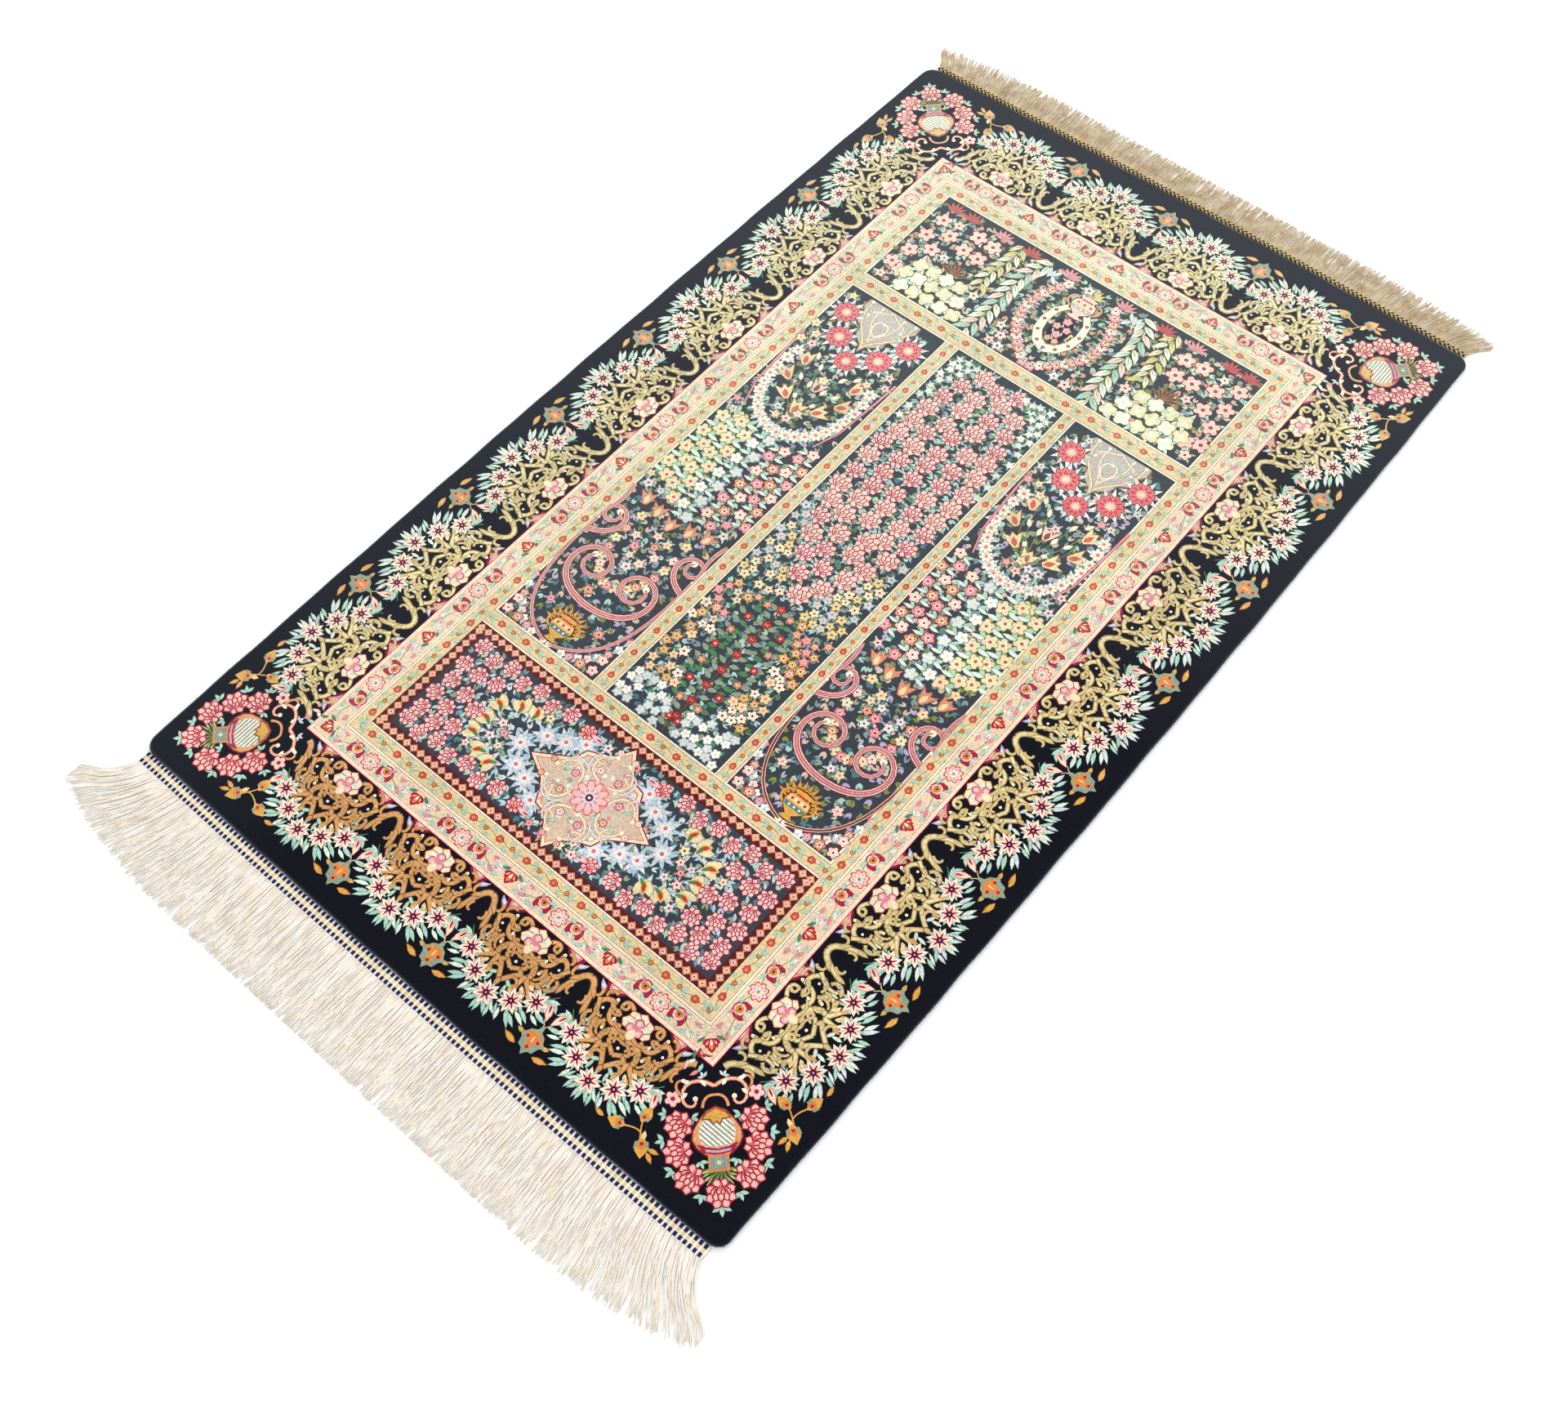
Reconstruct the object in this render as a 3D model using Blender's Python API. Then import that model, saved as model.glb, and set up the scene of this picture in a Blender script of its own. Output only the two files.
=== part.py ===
"""Persian rug, knotted in silk and lying flat.

The knotted body is drawn in a little at its four corners. The near end has a wide checked kilim
strip and a long fringe. The far end has a thin twined chain and a shorter fringe. Lengths are in
metres, +Z is up, and the rug lies on the plane z = 0 with its length along Y and its near end
at -Y. The origin is the centre of the whole rug's footprint, fringes included.
"""

import math

import bpy

# Knotted body: pile and foundation together.
BODY_WIDTH = 0.792  # across the ends, where it is narrowest
BODY_LENGTH = 1.318  # along the long sides, where it is shortest
BODY_THICKNESS = 0.0055
SIDE_BOW = 0.006  # how far the middle of each long side bulges out
END_BOW = 0.004  # how far the middle of each end bulges out
CORNER_RADIUS = 0.014
PILE_ROUNDING = 0.0014  # radius of the pile's upper and lower rims
OUTLINE_STEP = 0.055  # longest straight run in an outline

# Flat woven strips that bound the pile at the two ends.
STRIP_INSET = 0.009  # how much narrower each end is than the body, per side
KILIM_WIDTH = 0.0135
KILIM_THICKNESS = 0.0020
CHAIN_WIDTH = 0.0040
CHAIN_THICKNESS = 0.0022

# Fringes: the warp ends, each a comb of tufts that splay at the rug's corners.
# name, tuft length, thickness, tufts, splay at the corner tuft, share of length left there
FRINGES = {
    "near": dict(length=0.088, thickness=0.0026, tufts=50, splay_deg=47.0, corner_share=0.80),
    "far": dict(length=0.050, thickness=0.0024, tufts=50, splay_deg=34.0, corner_share=0.84),
}
FRINGE_HEADER = 0.0030  # unsplit root along the strip
TUFT_GAP = 0.0013  # slot between two tufts at their roots
TUFT_TIP_SHARE = 0.86  # width of a tip against its root
SPLAY_POWER = 5  # how late towards the corner the splay sets in

GAP = 0.0003  # air between neighbouring pieces

MATERIALS = {
    "silk_pile": dict(color=(0.012, 0.016, 0.038), roughness=0.62),
    "kilim_cotton": dict(color=(0.36, 0.37, 0.45), roughness=0.85),
    "chain_cotton": dict(color=(0.42, 0.34, 0.20), roughness=0.85),
    "near_fringe_cotton": dict(color=(0.83, 0.78, 0.68), roughness=0.90),
    "far_fringe_cotton": dict(color=(0.66, 0.54, 0.38), roughness=0.90),
}

HALF_WIDTH = BODY_WIDTH / 2
HALF_LENGTH = BODY_LENGTH / 2
STRIP_HALF_WIDTH = HALF_WIDTH - STRIP_INSET
NEAR_DEPTH = GAP + KILIM_WIDTH + GAP + FRINGES["near"]["length"]
FAR_DEPTH = GAP + CHAIN_WIDTH + GAP + FRINGES["far"]["length"]
BODY_CENTRE_Y = (NEAR_DEPTH - FAR_DEPTH) / 2


def clear_scene():
    for item in list(bpy.data.objects):
        bpy.data.objects.remove(item, do_unlink=True)


def make_material(name):
    values = MATERIALS[name]
    material = bpy.data.materials.new(name)
    material.use_nodes = True
    shader = material.node_tree.nodes["Principled BSDF"]
    shader.inputs["Base Color"].default_value = (*values["color"], 1.0)
    shader.inputs["Roughness"].default_value = values["roughness"]
    shader.inputs["Metallic"].default_value = 0.0
    return material


def end_bow(x):
    """How far the end's edge stands out beyond the straight end line at x."""
    return END_BOW * (1 - (x / HALF_WIDTH) ** 2)


def side_bow(y):
    """How far the side's edge stands out beyond the straight side line at y."""
    return SIDE_BOW * (1 - (y / HALF_LENGTH) ** 2)


def steps_between(start, stop):
    """Evenly spaced values from start to stop, both included, no further apart than the step."""
    count = max(1, math.ceil(abs(stop - start) / OUTLINE_STEP))
    return [start + (stop - start) * i / count for i in range(count + 1)]


def body_outline():
    """Rounded rectangle, anticlockwise from the near left, pushed out by the bows."""
    inner_x = HALF_WIDTH - CORNER_RADIUS
    inner_y = HALF_LENGTH - CORNER_RADIUS
    arc_steps = 6
    points = []
    corners = [
        (inner_x, -inner_y, -90),
        (inner_x, inner_y, 0),
        (-inner_x, inner_y, 90),
        (-inner_x, -inner_y, 180),
    ]
    for index, (centre_x, centre_y, start_deg) in enumerate(corners):
        for step in range(arc_steps + 1):
            angle = math.radians(start_deg + 90 * step / arc_steps)
            points.append(
                (centre_x + CORNER_RADIUS * math.cos(angle), centre_y + CORNER_RADIUS * math.sin(angle))
            )
        next_x, next_y, _ = corners[(index + 1) % 4]
        if index % 2 == 0:
            run = [(points[-1][0], y) for y in steps_between(centre_y, next_y)]
        else:
            run = [(x, points[-1][1]) for x in steps_between(centre_x, next_x)]
        points.extend(run[1:-1])
    return [bowed_point(x, y) for x, y in points]


def bowed_point(x, y):
    across = min(1.0, abs(x) / HALF_WIDTH)
    along = min(1.0, abs(y) / HALF_LENGTH)
    return x + math.copysign(side_bow(y), x) * across, y + math.copysign(end_bow(x), y) * along


def strip_outline(width):
    """A strip that follows the bowed end: its inner edge at 0, its outer edge at -width."""
    stations = steps_between(-STRIP_HALF_WIDTH, STRIP_HALF_WIDTH)
    outer = [(x, -width - end_bow(x)) for x in stations]
    inner = [(x, -end_bow(x)) for x in reversed(stations)]
    return outer + inner


def tuft_outline(root_x, root_width, spec):
    """One tuft, from its left root round its tip to its right root; it bends towards the corner."""
    across = root_x / STRIP_HALF_WIDTH
    splay = math.radians(spec["splay_deg"]) * math.copysign(abs(across) ** SPLAY_POWER, across)
    share = 1 - (1 - spec["corner_share"]) * abs(across) ** SPLAY_POWER
    reach = (spec["length"] - FRINGE_HEADER) * share
    left = []
    right = []
    for part in (0.0, 0.35, 0.7, 1.0):
        lean = splay * min(1.0, 0.55 + 0.45 * part)
        centre_x = root_x + reach * part * math.sin(lean)
        centre_y = -FRINGE_HEADER - end_bow(root_x) - reach * part * math.cos(lean)
        half = root_width / 2 * (1 - (1 - TUFT_TIP_SHARE) * part)
        offset_x = half * math.cos(lean)
        offset_y = half * math.sin(lean)
        if part == 0.0:
            offset_x, offset_y = half, 0.0
        left.append((centre_x - offset_x, centre_y - offset_y))
        right.append((centre_x + offset_x, centre_y + offset_y))
    return left + right[::-1]


def fringe_outline(spec):
    """A comb: a straight header along the strip, and tufts with slots between them."""
    pitch = 2 * STRIP_HALF_WIDTH / spec["tufts"]
    points = []
    for index in range(spec["tufts"]):
        root_x = -STRIP_HALF_WIDTH + (index + 0.5) * pitch
        points.extend(tuft_outline(root_x, pitch - TUFT_GAP, spec))
    header = [(x, -end_bow(x)) for x in steps_between(STRIP_HALF_WIDTH, -STRIP_HALF_WIDTH)]
    return points + header


def flat_piece(name, outline, thickness, material, rounding=0.0):
    """A closed flat solid from an outline, with its underside on z = 0."""
    curve = bpy.data.curves.new(name, "CURVE")
    curve.dimensions = "2D"
    curve.fill_mode = "BOTH"
    curve.extrude = thickness / 2 - rounding
    curve.bevel_depth = rounding
    curve.offset = -rounding
    curve.bevel_resolution = 1
    spline = curve.splines.new("POLY")
    spline.points.add(len(outline) - 1)
    for point, (x, y) in zip(spline.points, outline):
        point.co = (x, y, 0.0, 1.0)
    spline.use_cyclic_u = True
    curve.materials.append(make_material(material))
    return bpy.data.objects.new(name, curve)


def place(piece, parent, collection, y, thickness, turned=False):
    piece.parent = parent
    piece.location = (0.0, y, thickness / 2)
    if turned:
        piece.rotation_euler = (0.0, 0.0, math.pi)
    collection.objects.link(piece)


def build_end(
    parent, collection, strip_name, strip_width, strip_thickness, strip_material, fringe_name, side
):
    """A strip and its fringe. side is -1 for the near end and 1 for the far end."""
    turned = side > 0
    strip_y = side * (HALF_LENGTH + GAP)
    strip = flat_piece(strip_name, strip_outline(strip_width), strip_thickness, strip_material)
    place(strip, parent, collection, strip_y, strip_thickness, turned)

    spec = FRINGES["far" if turned else "near"]
    material = "far_fringe_cotton" if turned else "near_fringe_cotton"
    fringe_y = side * (HALF_LENGTH + GAP + strip_width + GAP)
    fringe = flat_piece(fringe_name, fringe_outline(spec), spec["thickness"], material)
    place(fringe, parent, collection, fringe_y, spec["thickness"], turned)


def build_rug():
    collection = bpy.data.collections.new("persian_rug")
    bpy.context.scene.collection.children.link(collection)
    rug = bpy.data.objects.new("rug_centre", None)
    rug.location = (0.0, BODY_CENTRE_Y, 0.0)
    collection.objects.link(rug)

    body = flat_piece("pile_body", body_outline(), BODY_THICKNESS, "silk_pile", PILE_ROUNDING)
    place(body, rug, collection, 0.0, BODY_THICKNESS)
    build_end(rug, collection, "near_kilim", KILIM_WIDTH, KILIM_THICKNESS, "kilim_cotton", "near_fringe", -1)
    build_end(rug, collection, "far_chain", CHAIN_WIDTH, CHAIN_THICKNESS, "chain_cotton", "far_fringe", 1)


clear_scene()
build_rug()
bpy.context.view_layer.update()
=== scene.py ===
import math
import random

import bpy
import numpy as np
from mathutils.geometry import delaunay_2d_cdt
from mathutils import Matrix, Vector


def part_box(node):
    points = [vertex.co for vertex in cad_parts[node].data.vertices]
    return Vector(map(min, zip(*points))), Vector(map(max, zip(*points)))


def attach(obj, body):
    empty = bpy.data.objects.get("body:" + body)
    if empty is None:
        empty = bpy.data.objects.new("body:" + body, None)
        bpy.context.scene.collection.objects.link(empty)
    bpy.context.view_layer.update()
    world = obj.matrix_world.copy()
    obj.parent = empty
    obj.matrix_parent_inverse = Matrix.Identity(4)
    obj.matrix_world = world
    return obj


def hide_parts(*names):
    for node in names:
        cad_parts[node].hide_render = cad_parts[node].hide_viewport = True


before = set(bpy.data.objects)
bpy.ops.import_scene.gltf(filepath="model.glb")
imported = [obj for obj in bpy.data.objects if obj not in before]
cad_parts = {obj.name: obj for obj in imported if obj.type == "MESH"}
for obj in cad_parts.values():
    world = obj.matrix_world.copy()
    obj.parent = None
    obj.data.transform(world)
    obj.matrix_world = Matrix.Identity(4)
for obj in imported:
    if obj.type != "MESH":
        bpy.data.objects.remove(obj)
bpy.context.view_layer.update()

pileLow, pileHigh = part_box("pile_body")
pileMiddle = (pileLow + pileHigh) / 2
pileTop = pileHigh.z

# the dyes of the pile, as they look on screen
dyes = {
    "navy": "#0b0d17",
    "ink": "#1a1430",
    "night": "#141a30",
    "charcoal": "#383e46",
    "gold": "#c9975e",
    "brass": "#cdb67e",
    "bronze": "#5d4b30",
    "brassPale": "#e4d6a6",
    "stone": "#b9b0ab",
    "sand": "#e3c9aa",
    "wheat": "#dcc597",
    "peony": "#d9666f",
    "wine": "#8a1c2e",
    "shell": "#f2b9ad",
    "umber": "#5e3a24",
    "amber": "#d6a04a",
    "rust": "#8a4a2c",
    "coral": "#c8553f",
    "straw": "#e8cf9c",
    "apricot": "#d99a66",
    "ivory": "#eed9b8",
    "cream": "#f3e7cd",
    "white": "#f3eee2",
    "mist": "#cfd6d6",
    "blush": "#f2c4bb",
    "rose": "#dd8890",
    "garnet": "#7c1a2c",
    "crimson": "#a3243a",
    "red": "#bf2f36",
    "mint": "#a6ccb9",
    "mintPale": "#d6e4d2",
    "forest": "#1f4238",
    "leafGreen": "#4f7f52",
    "olive": "#7d8440",
    "sage": "#8c9a80",
    "teal": "#4d7a80",
    "slate": "#7f9199",
    "sky": "#a9c6cf",
    "lilac": "#b3a3bf",
    "plum": "#4a2c54",
    "orange": "#d9813a",
    "yellow": "#dcc670",
    "paleYellow": "#e0d3a8",
    "salmon": "#d08a6c",
    "oxblood": "#571c22",
    "brown": "#6b4128",
    "beige": "#cfb69f",
}
dyeNames = list(dyes)

# The pattern is laid as flat shapes, the later ones over the earlier ones. Each shape is one dye.
# x runs across the rug and y along it, from the middle of the pile, in metres.
design = []

# the box that shapes are kept within while a panel is drawn
limit = {"box": None}


class Pen:
    # a place on the rug: where it is, how far it is turned, how big it draws, and if it mirrors
    def __init__(self, x=0.0, y=0.0, turn=0.0, size=1.0, flip=1):
        self.x = x
        self.y = y
        self.turn = turn
        self.size = size
        self.flip = flip

    def point(self, u, v):
        u *= self.size * self.flip
        v *= self.size
        return (
            self.x + u * math.cos(self.turn) - v * math.sin(self.turn),
            self.y + u * math.sin(self.turn) + v * math.cos(self.turn),
        )

    def at(self, u, v, turn=0.0, size=1.0, flip=1):
        x, y = self.point(u, v)
        return Pen(x, y, self.turn + self.flip * math.radians(turn), self.size * size, self.flip * flip)

    def fill(self, dye, points):
        spots = [self.point(u, v) for u, v in points]
        if limit["box"]:
            x0, y0, x1, y1 = limit["box"]
            spots = [(min(x1, max(x0, x)), min(y1, max(y0, y))) for x, y in spots]
            if len(set(x for x, y in spots)) < 2 or len(set(y for x, y in spots)) < 2:
                return
        design.append((dye, spots))


def bothSides(pen):
    return (pen, pen.at(0, 0, flip=-1))


def mirrorOf(points):
    # the same points on the other side of the middle line, the other way round
    return [(-u, v) for u, v in reversed(points)]


def wider(points, stretch):
    return [(u * stretch, v) for u, v in points]


def boxOf(x0, y0, x1, y1):
    return [(x0, y0), (x1, y0), (x1, y1), (x0, y1)]


def ringOf(count, radius, start=90.0, squash=1.0):
    angles = [math.radians(start + 360 * i / count) for i in range(count)]
    return [(radius * math.cos(a), radius * squash * math.sin(a)) for a in angles]


def starOf(tips, outer, inner, start=90.0):
    points = []
    for i in range(tips):
        for radius, step in ((outer, 0.0), (inner, 0.5)):
            angle = math.radians(start + 360 * (i + step) / tips)
            points.append((radius * math.cos(angle), radius * math.sin(angle)))
    return points


def lobesOf(lobes, outer, inner, start=90.0):
    # round petals side by side: two shoulders a petal, and a notch between petals
    points = []
    for i in range(lobes):
        for radius, step in ((outer * 0.95, -0.22), (outer, 0.0), (outer * 0.95, 0.22), (inner, 0.5)):
            angle = math.radians(start + 360 * (i + step) / lobes)
            points.append((radius * math.cos(angle), radius * math.sin(angle)))
    return points


def leafOf(length, width, bend=0.0, blunt=0.0):
    # a blade from the origin along +v, bending towards +u; blunt rounds its tip
    left = []
    right = []
    for along, share in ((0.0, 0.12), (0.3, 0.92), (0.62, 0.86), (1.0, blunt)):
        mid = bend * length * along * along
        left.append((mid - width / 2 * share, length * along))
        right.append((mid + width / 2 * share, length * along))
    if blunt == 0.0:
        return left + right[-2::-1]
    return left + right[::-1]


def petal(pen, dye, length, width):
    # a rounded petal from the origin along +v
    half = [(-width * 0.16, 0.0), (-width * 0.46, length * 0.38), (-width * 0.44, length * 0.76)]
    pen.fill(dye, [*half, (0.0, length), *mirrorOf(half)])


def leaf(pen, length, width, bend=0.0, fill="mint", edge="forest", rim=0.00045):
    pen.at(0, -rim).fill(edge, leafOf(length + 2.6 * rim, width + 2 * rim, bend))
    pen.fill(fill, leafOf(length, width, bend))


def ribbonOf(path, startWidth, endWidth):
    # a band along a path of points
    left = []
    right = []
    last = len(path) - 1
    for i, (u, v) in enumerate(path):
        before = path[max(0, i - 1)]
        after = path[min(last, i + 1)]
        along = math.atan2(after[1] - before[1], after[0] - before[0])
        half = (startWidth + (endWidth - startWidth) * i / last) / 2
        left.append((u - half * math.sin(along), v + half * math.cos(along)))
        right.append((u + half * math.sin(along), v - half * math.cos(along)))
    return left + right[::-1]


def bezierOf(a, b, c, d, steps=7):
    points = []
    for i in range(steps + 1):
        t = i / steps
        s = 1 - t
        first, second, third, last = s**3, 3 * s * s * t, 3 * s * t * t, t**3
        points.append(tuple(first * p + second * q + third * r + last * w for p, q, r, w in zip(a, b, c, d)))
    return points


def curlOf(start, heading, length, turnStart, turnEnd, steps=12):
    # a path that starts straight-ish and winds up: its turning per step grows
    u, v = start
    angle = math.radians(heading)
    points = [(u, v)]
    for i in range(steps):
        share = (i + 0.5) / steps
        angle += math.radians(turnStart + (turnEnd - turnStart) * share) / steps
        u += length / steps * math.cos(angle)
        v += length / steps * math.sin(angle)
        points.append((u, v))
    return points


def stem(pen, path, width=0.0009, dye="olive"):
    pen.fill(dye, ribbonOf(path, width, width * 0.7))


def scroll(pen, path, width, tip, fill, edge, pearl=None):
    # a two-tone arabesque arm, with a pearl at its wound end where one is named
    pen.fill(edge, ribbonOf(path, width, tip))
    pen.fill(fill, ribbonOf(path, width * 0.76, tip * 0.72))
    if pearl:
        u, v = path[-1]
        pen.at(u, v).fill(pearl, ringOf(6, tip * 0.8))


# Flowers. Each is drawn about its own middle, in millimetres, with +v as its top.


def starFlower(pen, radius=13.4, tips=7):
    step = 360 / tips
    for i in range(tips):
        spot = pen.at(0, 0, step * (i + 0.5))
        leaf(spot, radius * 0.98, radius * 0.34, 0.05, "mint", "forest", 0.35)
    for i in range(tips):
        spot = pen.at(0, 0, step * i)
        spot.fill("rose", leafOf(radius * 1.05, radius * 0.50))
        spot.fill("cream", leafOf(radius, radius * 0.42))
    for i in range(tips):
        pen.at(0, 0, step * i).fill("crimson", leafOf(radius * 0.70, radius * 0.17))
    pen.fill("crimson", ringOf(7, radius * 0.30))
    pen.fill("ink", ringOf(6, radius * 0.23))
    pen.fill("lilac", ringOf(4, radius * 0.10))


# rose petals, back to front, in pairs: foot v, turn, length and width in radii
rosePetals = (
    (0.0, 160, 0.94, 0.56), (0.0, 112, 0.98, 0.58), (0.0, 68, 1.0, 0.60), (0.0, 24, 1.0, 0.56),
    (-0.34, 58, 0.72, 0.42), (-0.40, 26, 0.96, 0.44), (-0.36, 0, 0.86, 0.38), (-0.42, 20, 0.50, 0.26),
)


def rose(pen, radius, light="shell", mid="peony", dark="wine"):
    # a full blossom: a ring of rounded petals with a bowl of petals in front
    for v, turn, length, width in rosePetals:
        for angle in (turn, -turn) if turn else (0,):
            spot = pen.at(0, v * radius, angle)
            petal(spot, dark, (length + 0.05) * radius, (width + 0.16) * radius)
            petal(spot, mid, length * radius, width * radius)
            petal(spot.at(0, length * radius * 0.46), light, length * radius * 0.46, width * radius * 0.66)


def daisy(pen, radius, petals, outer, inner, heart, rim):
    pen.fill(rim, lobesOf(petals, radius * 1.1, radius * 0.8))
    pen.fill(outer, lobesOf(petals, radius, radius * 0.62))
    pen.fill(inner, starOf(petals, radius * 0.62, radius * 0.28, start=90 + 180 / petals))
    pen.fill(heart, ringOf(6, radius * 0.27))


def roundFlower(pen, radius, fill, heart, edge):
    pen.fill(edge, lobesOf(5, radius * 1.14, radius * 0.84))
    pen.fill(fill, lobesOf(5, radius, radius * 0.66))
    pen.fill(heart, ringOf(5, radius * 0.34))


def lily(pen, length, outer, inner, edge):
    # a bell with three tips, opening along +v
    half = length * 0.42
    bell = [
        (-0.12 * length, 0), (-half * 0.8, 0.42 * length), (-half * 1.25, 0.96 * length),
        (-half * 0.4, 0.72 * length), (0, length),
    ]
    bell += mirrorOf(bell[:-1])
    pen.at(0, -0.05 * length, size=1.12).fill(edge, bell)
    pen.fill(outer, bell)
    pen.at(0, 0.06 * length).fill(inner, leafOf(length * 0.66, length * 0.34))


def bud(pen, length, fill="ivory", line="crimson", sepal="mint"):
    leaf(pen.at(-length * 0.06, 0, 24), length * 0.62, length * 0.22, fill=sepal)
    leaf(pen.at(length * 0.06, 0, -24), length * 0.62, length * 0.22, fill=sepal)
    pen.at(0, length * 0.1).fill("rose", leafOf(length * 0.92, length * 0.40))
    pen.at(0, length * 0.14).fill(fill, leafOf(length * 0.84, length * 0.28))
    pen.at(0, length * 0.18).fill(line, leafOf(length * 0.46, length * 0.12))


def trefoil(pen, size, fill="mint", edge="forest"):
    for turn in (-62, 0, 62):
        leaf(pen.at(0, 0, turn), size, size * 0.46, fill=fill, edge=edge, rim=0.35)


# where the borders and their arcs lie, in metres
layout = {
    "guardHalfX": 0.2805,  # outer line of the guard band
    "guardHalfY": 0.5360,
    "middleY": -0.0015,
    "endArcs": 4,
    "sideArcs": 7,
    "endPitch": 0.1335,
    "sidePitch": 0.1510,
    "arcPitch": 0.1335,  # the pitch that an arc is drawn for
}

# arabesque arms of one arc, right half, in mm: four Bezier points, start and end width, pearl
arcArms = (
    ((12, 26), (26, 33), (31.5, 26), (32, 8), 3.9, 3.2, "cream"),
    ((12, 8), (17, 0.5), (28, 2), (24, 12), 3.2, 2.6, "cream"),
    ((31, 13), (44, 8), (49, 27), (38.5, 30), 4.0, 3.2, "cream"),
    ((47, 17), (41, 26), (38, 34), (41, 42), 3.4, 2.6, "straw"),
    ((50, 39), (55, 26), (57, 8), (66.8, 7.6), 3.8, 5.0, None),
    ((0, 30), (15, 27), (25, 38), (20, 50), 4.4, 4.4, None),
    ((13, 41), (11, 45), (6, 47), (0, 51), 3.0, 3.6, None),
    ((15, 48), (9, 53), (6, 58), (0, 67), 4.0, 3.6, None),
    ((16, 50), (24, 52), (34, 51), (34.5, 42), 4.6, 3.6, None),
    ((34.5, 43), (35.5, 33), (26, 30), (25.5, 38), 3.6, 3.0, "cream"),
    ((20, 49), (25, 54), (31, 57), (35, 63), 4.4, 2.4, "straw"),
    ((17, 50), (18, 56), (16, 61), (20, 66), 4.2, 2.2, "straw"),
)
# mint blades that fan out round an arc, right half: root u, v, turn, length, width, bend
arcBlades = (
    (1.5, 90, -2, 15, 4.2, 0.0), (4, 88, -24, 15, 4.4, 0.1), (8, 86, -46, 14, 4.2, 0.12),
    (15, 84, -28, 14, 3.0, 0.0), (26, 82, -40, 20, 5.0, 0.05), (34, 79, -74, 17, 4.6, -0.12),
    (30, 70, -58, 20, 3.4, 0.0), (50, 68, -86, 14.5, 5.0, -0.12), (52, 60, -92, 12, 5.4, 0.0),
    (48, 55, -128, 12, 4.0, 0.0), (43, 50, -172, 10, 4.0, 0.1), (37, 52, 158, 9, 3.6, 0.0),
    (11, 76, 172, 12, 3.8, 0.0),
    (11, 90, -14, 13, 3.8, 0.0), (20, 86, -20, 13, 4.0, 0.0), (31, 84, -52, 15, 4.4, 0.1),
    (38, 74, -60, 15, 4.2, 0.0), (48, 72, -70, 13, 4.0, 0.0), (34, 64, -100, 12, 4.4, 0.0),
    (14, 66, 120, 11, 4.0, 0.0), (52, 51, -110, 12, 4.4, 0.0), (38, 46, 170, 13, 4.4, 0.0),
    (46, 44, -170, 12, 4.0, 0.0),
)
# curls between the arms, right half: four Bezier points
arcCurls = (
    ((4, 27), (10, 31), (18, 30), (21, 24)), ((35, 4), (41, 2), (46, 6), (43, 12)),
    ((20, 5), (16, 10), (22, 14), (26, 10)), ((0, 37), (6, 34), (10, 37), (7, 42)),
    ((28, 30), (33, 36), (30, 44), (25, 46)), ((44, 32), (50, 36), (49, 44), (43, 46)),
    ((50, 8), (46, 14), (50, 20), (54, 17)), ((58, 24), (54, 30), (57, 36), (61, 34)),
    ((20, 34), (16, 38), (19, 44), (24, 42)), ((8, 56), (14, 54), (18, 58), (16, 64)),
    ((35, 33), (38, 38), (35, 42), (31, 41)),
)
# small gold leaves between the curls, right half: u, v, turn, length
arcLeaves = (
    (60, 14, 60, 13), (53, 30, 20, 13), (47, 44, 80, 10), (36, 12, 60, 12), (28, 17, 100, 10),
    (8, 33, 100, 9), (30, 46, -60, 10), (14, 52, 150, 10),
)
arcStars = ((0, 83.4), (24, 74.2), (43.6, 59.8))


def halfFlower(pen):
    # half a blossom that peeps out from under the guard band
    pen.fill("garnet", [(28, 0), (33, 5), (38, 6), (44, 12.5), (49, 8), (52, 0)])
    pen.fill("rose", [(31, 0), (37, 3.4), (43, 9.5), (46, 5), (48, 0)])
    pen.fill("blush", [(38, 0), (42.5, 6), (45, 0)])
    pen.fill("lilac", [(47, 12.5), (49.5, 5), (58, 1.0), (56, 6), (51, 11)])
    pen.fill("mist", [(49, 9.5), (51, 5.5), (56, 3), (53, 7)])


def fanFlower(pen):
    # the ivory fan over a pink flower, at the foot of each arc
    for turn, reach in ((-92, 15.5), (-52, 15.5), (0, 14.5), (52, 15.5), (92, 15.5)):
        spot = pen.at(0, 17.5, 180 + turn)
        petal(spot, "garnet", reach + 2.6, 14.2)
        petal(spot, "straw", reach + 1.4, 12.6)
        petal(spot, "ivory", reach + 0.4, 10.4)
        petal(spot.at(0, 5.5), "mist", reach - 8.5, 4.6)
    for turn in (-118, 0, 118):
        spot = pen.at(0, 18.5, 180 + turn)
        petal(spot, "garnet", 10.8, 11.0)
        petal(spot, "rose", 10.0, 9.6)
        petal(spot.at(0, 3.5), "blush", 5.0, 5.0)
    pen.at(0, 26).fill("straw", ringOf(8, 4.6, squash=1.35))
    pen.at(0, 26).fill("ivory", ringOf(8, 3.5, squash=1.35))


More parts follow.
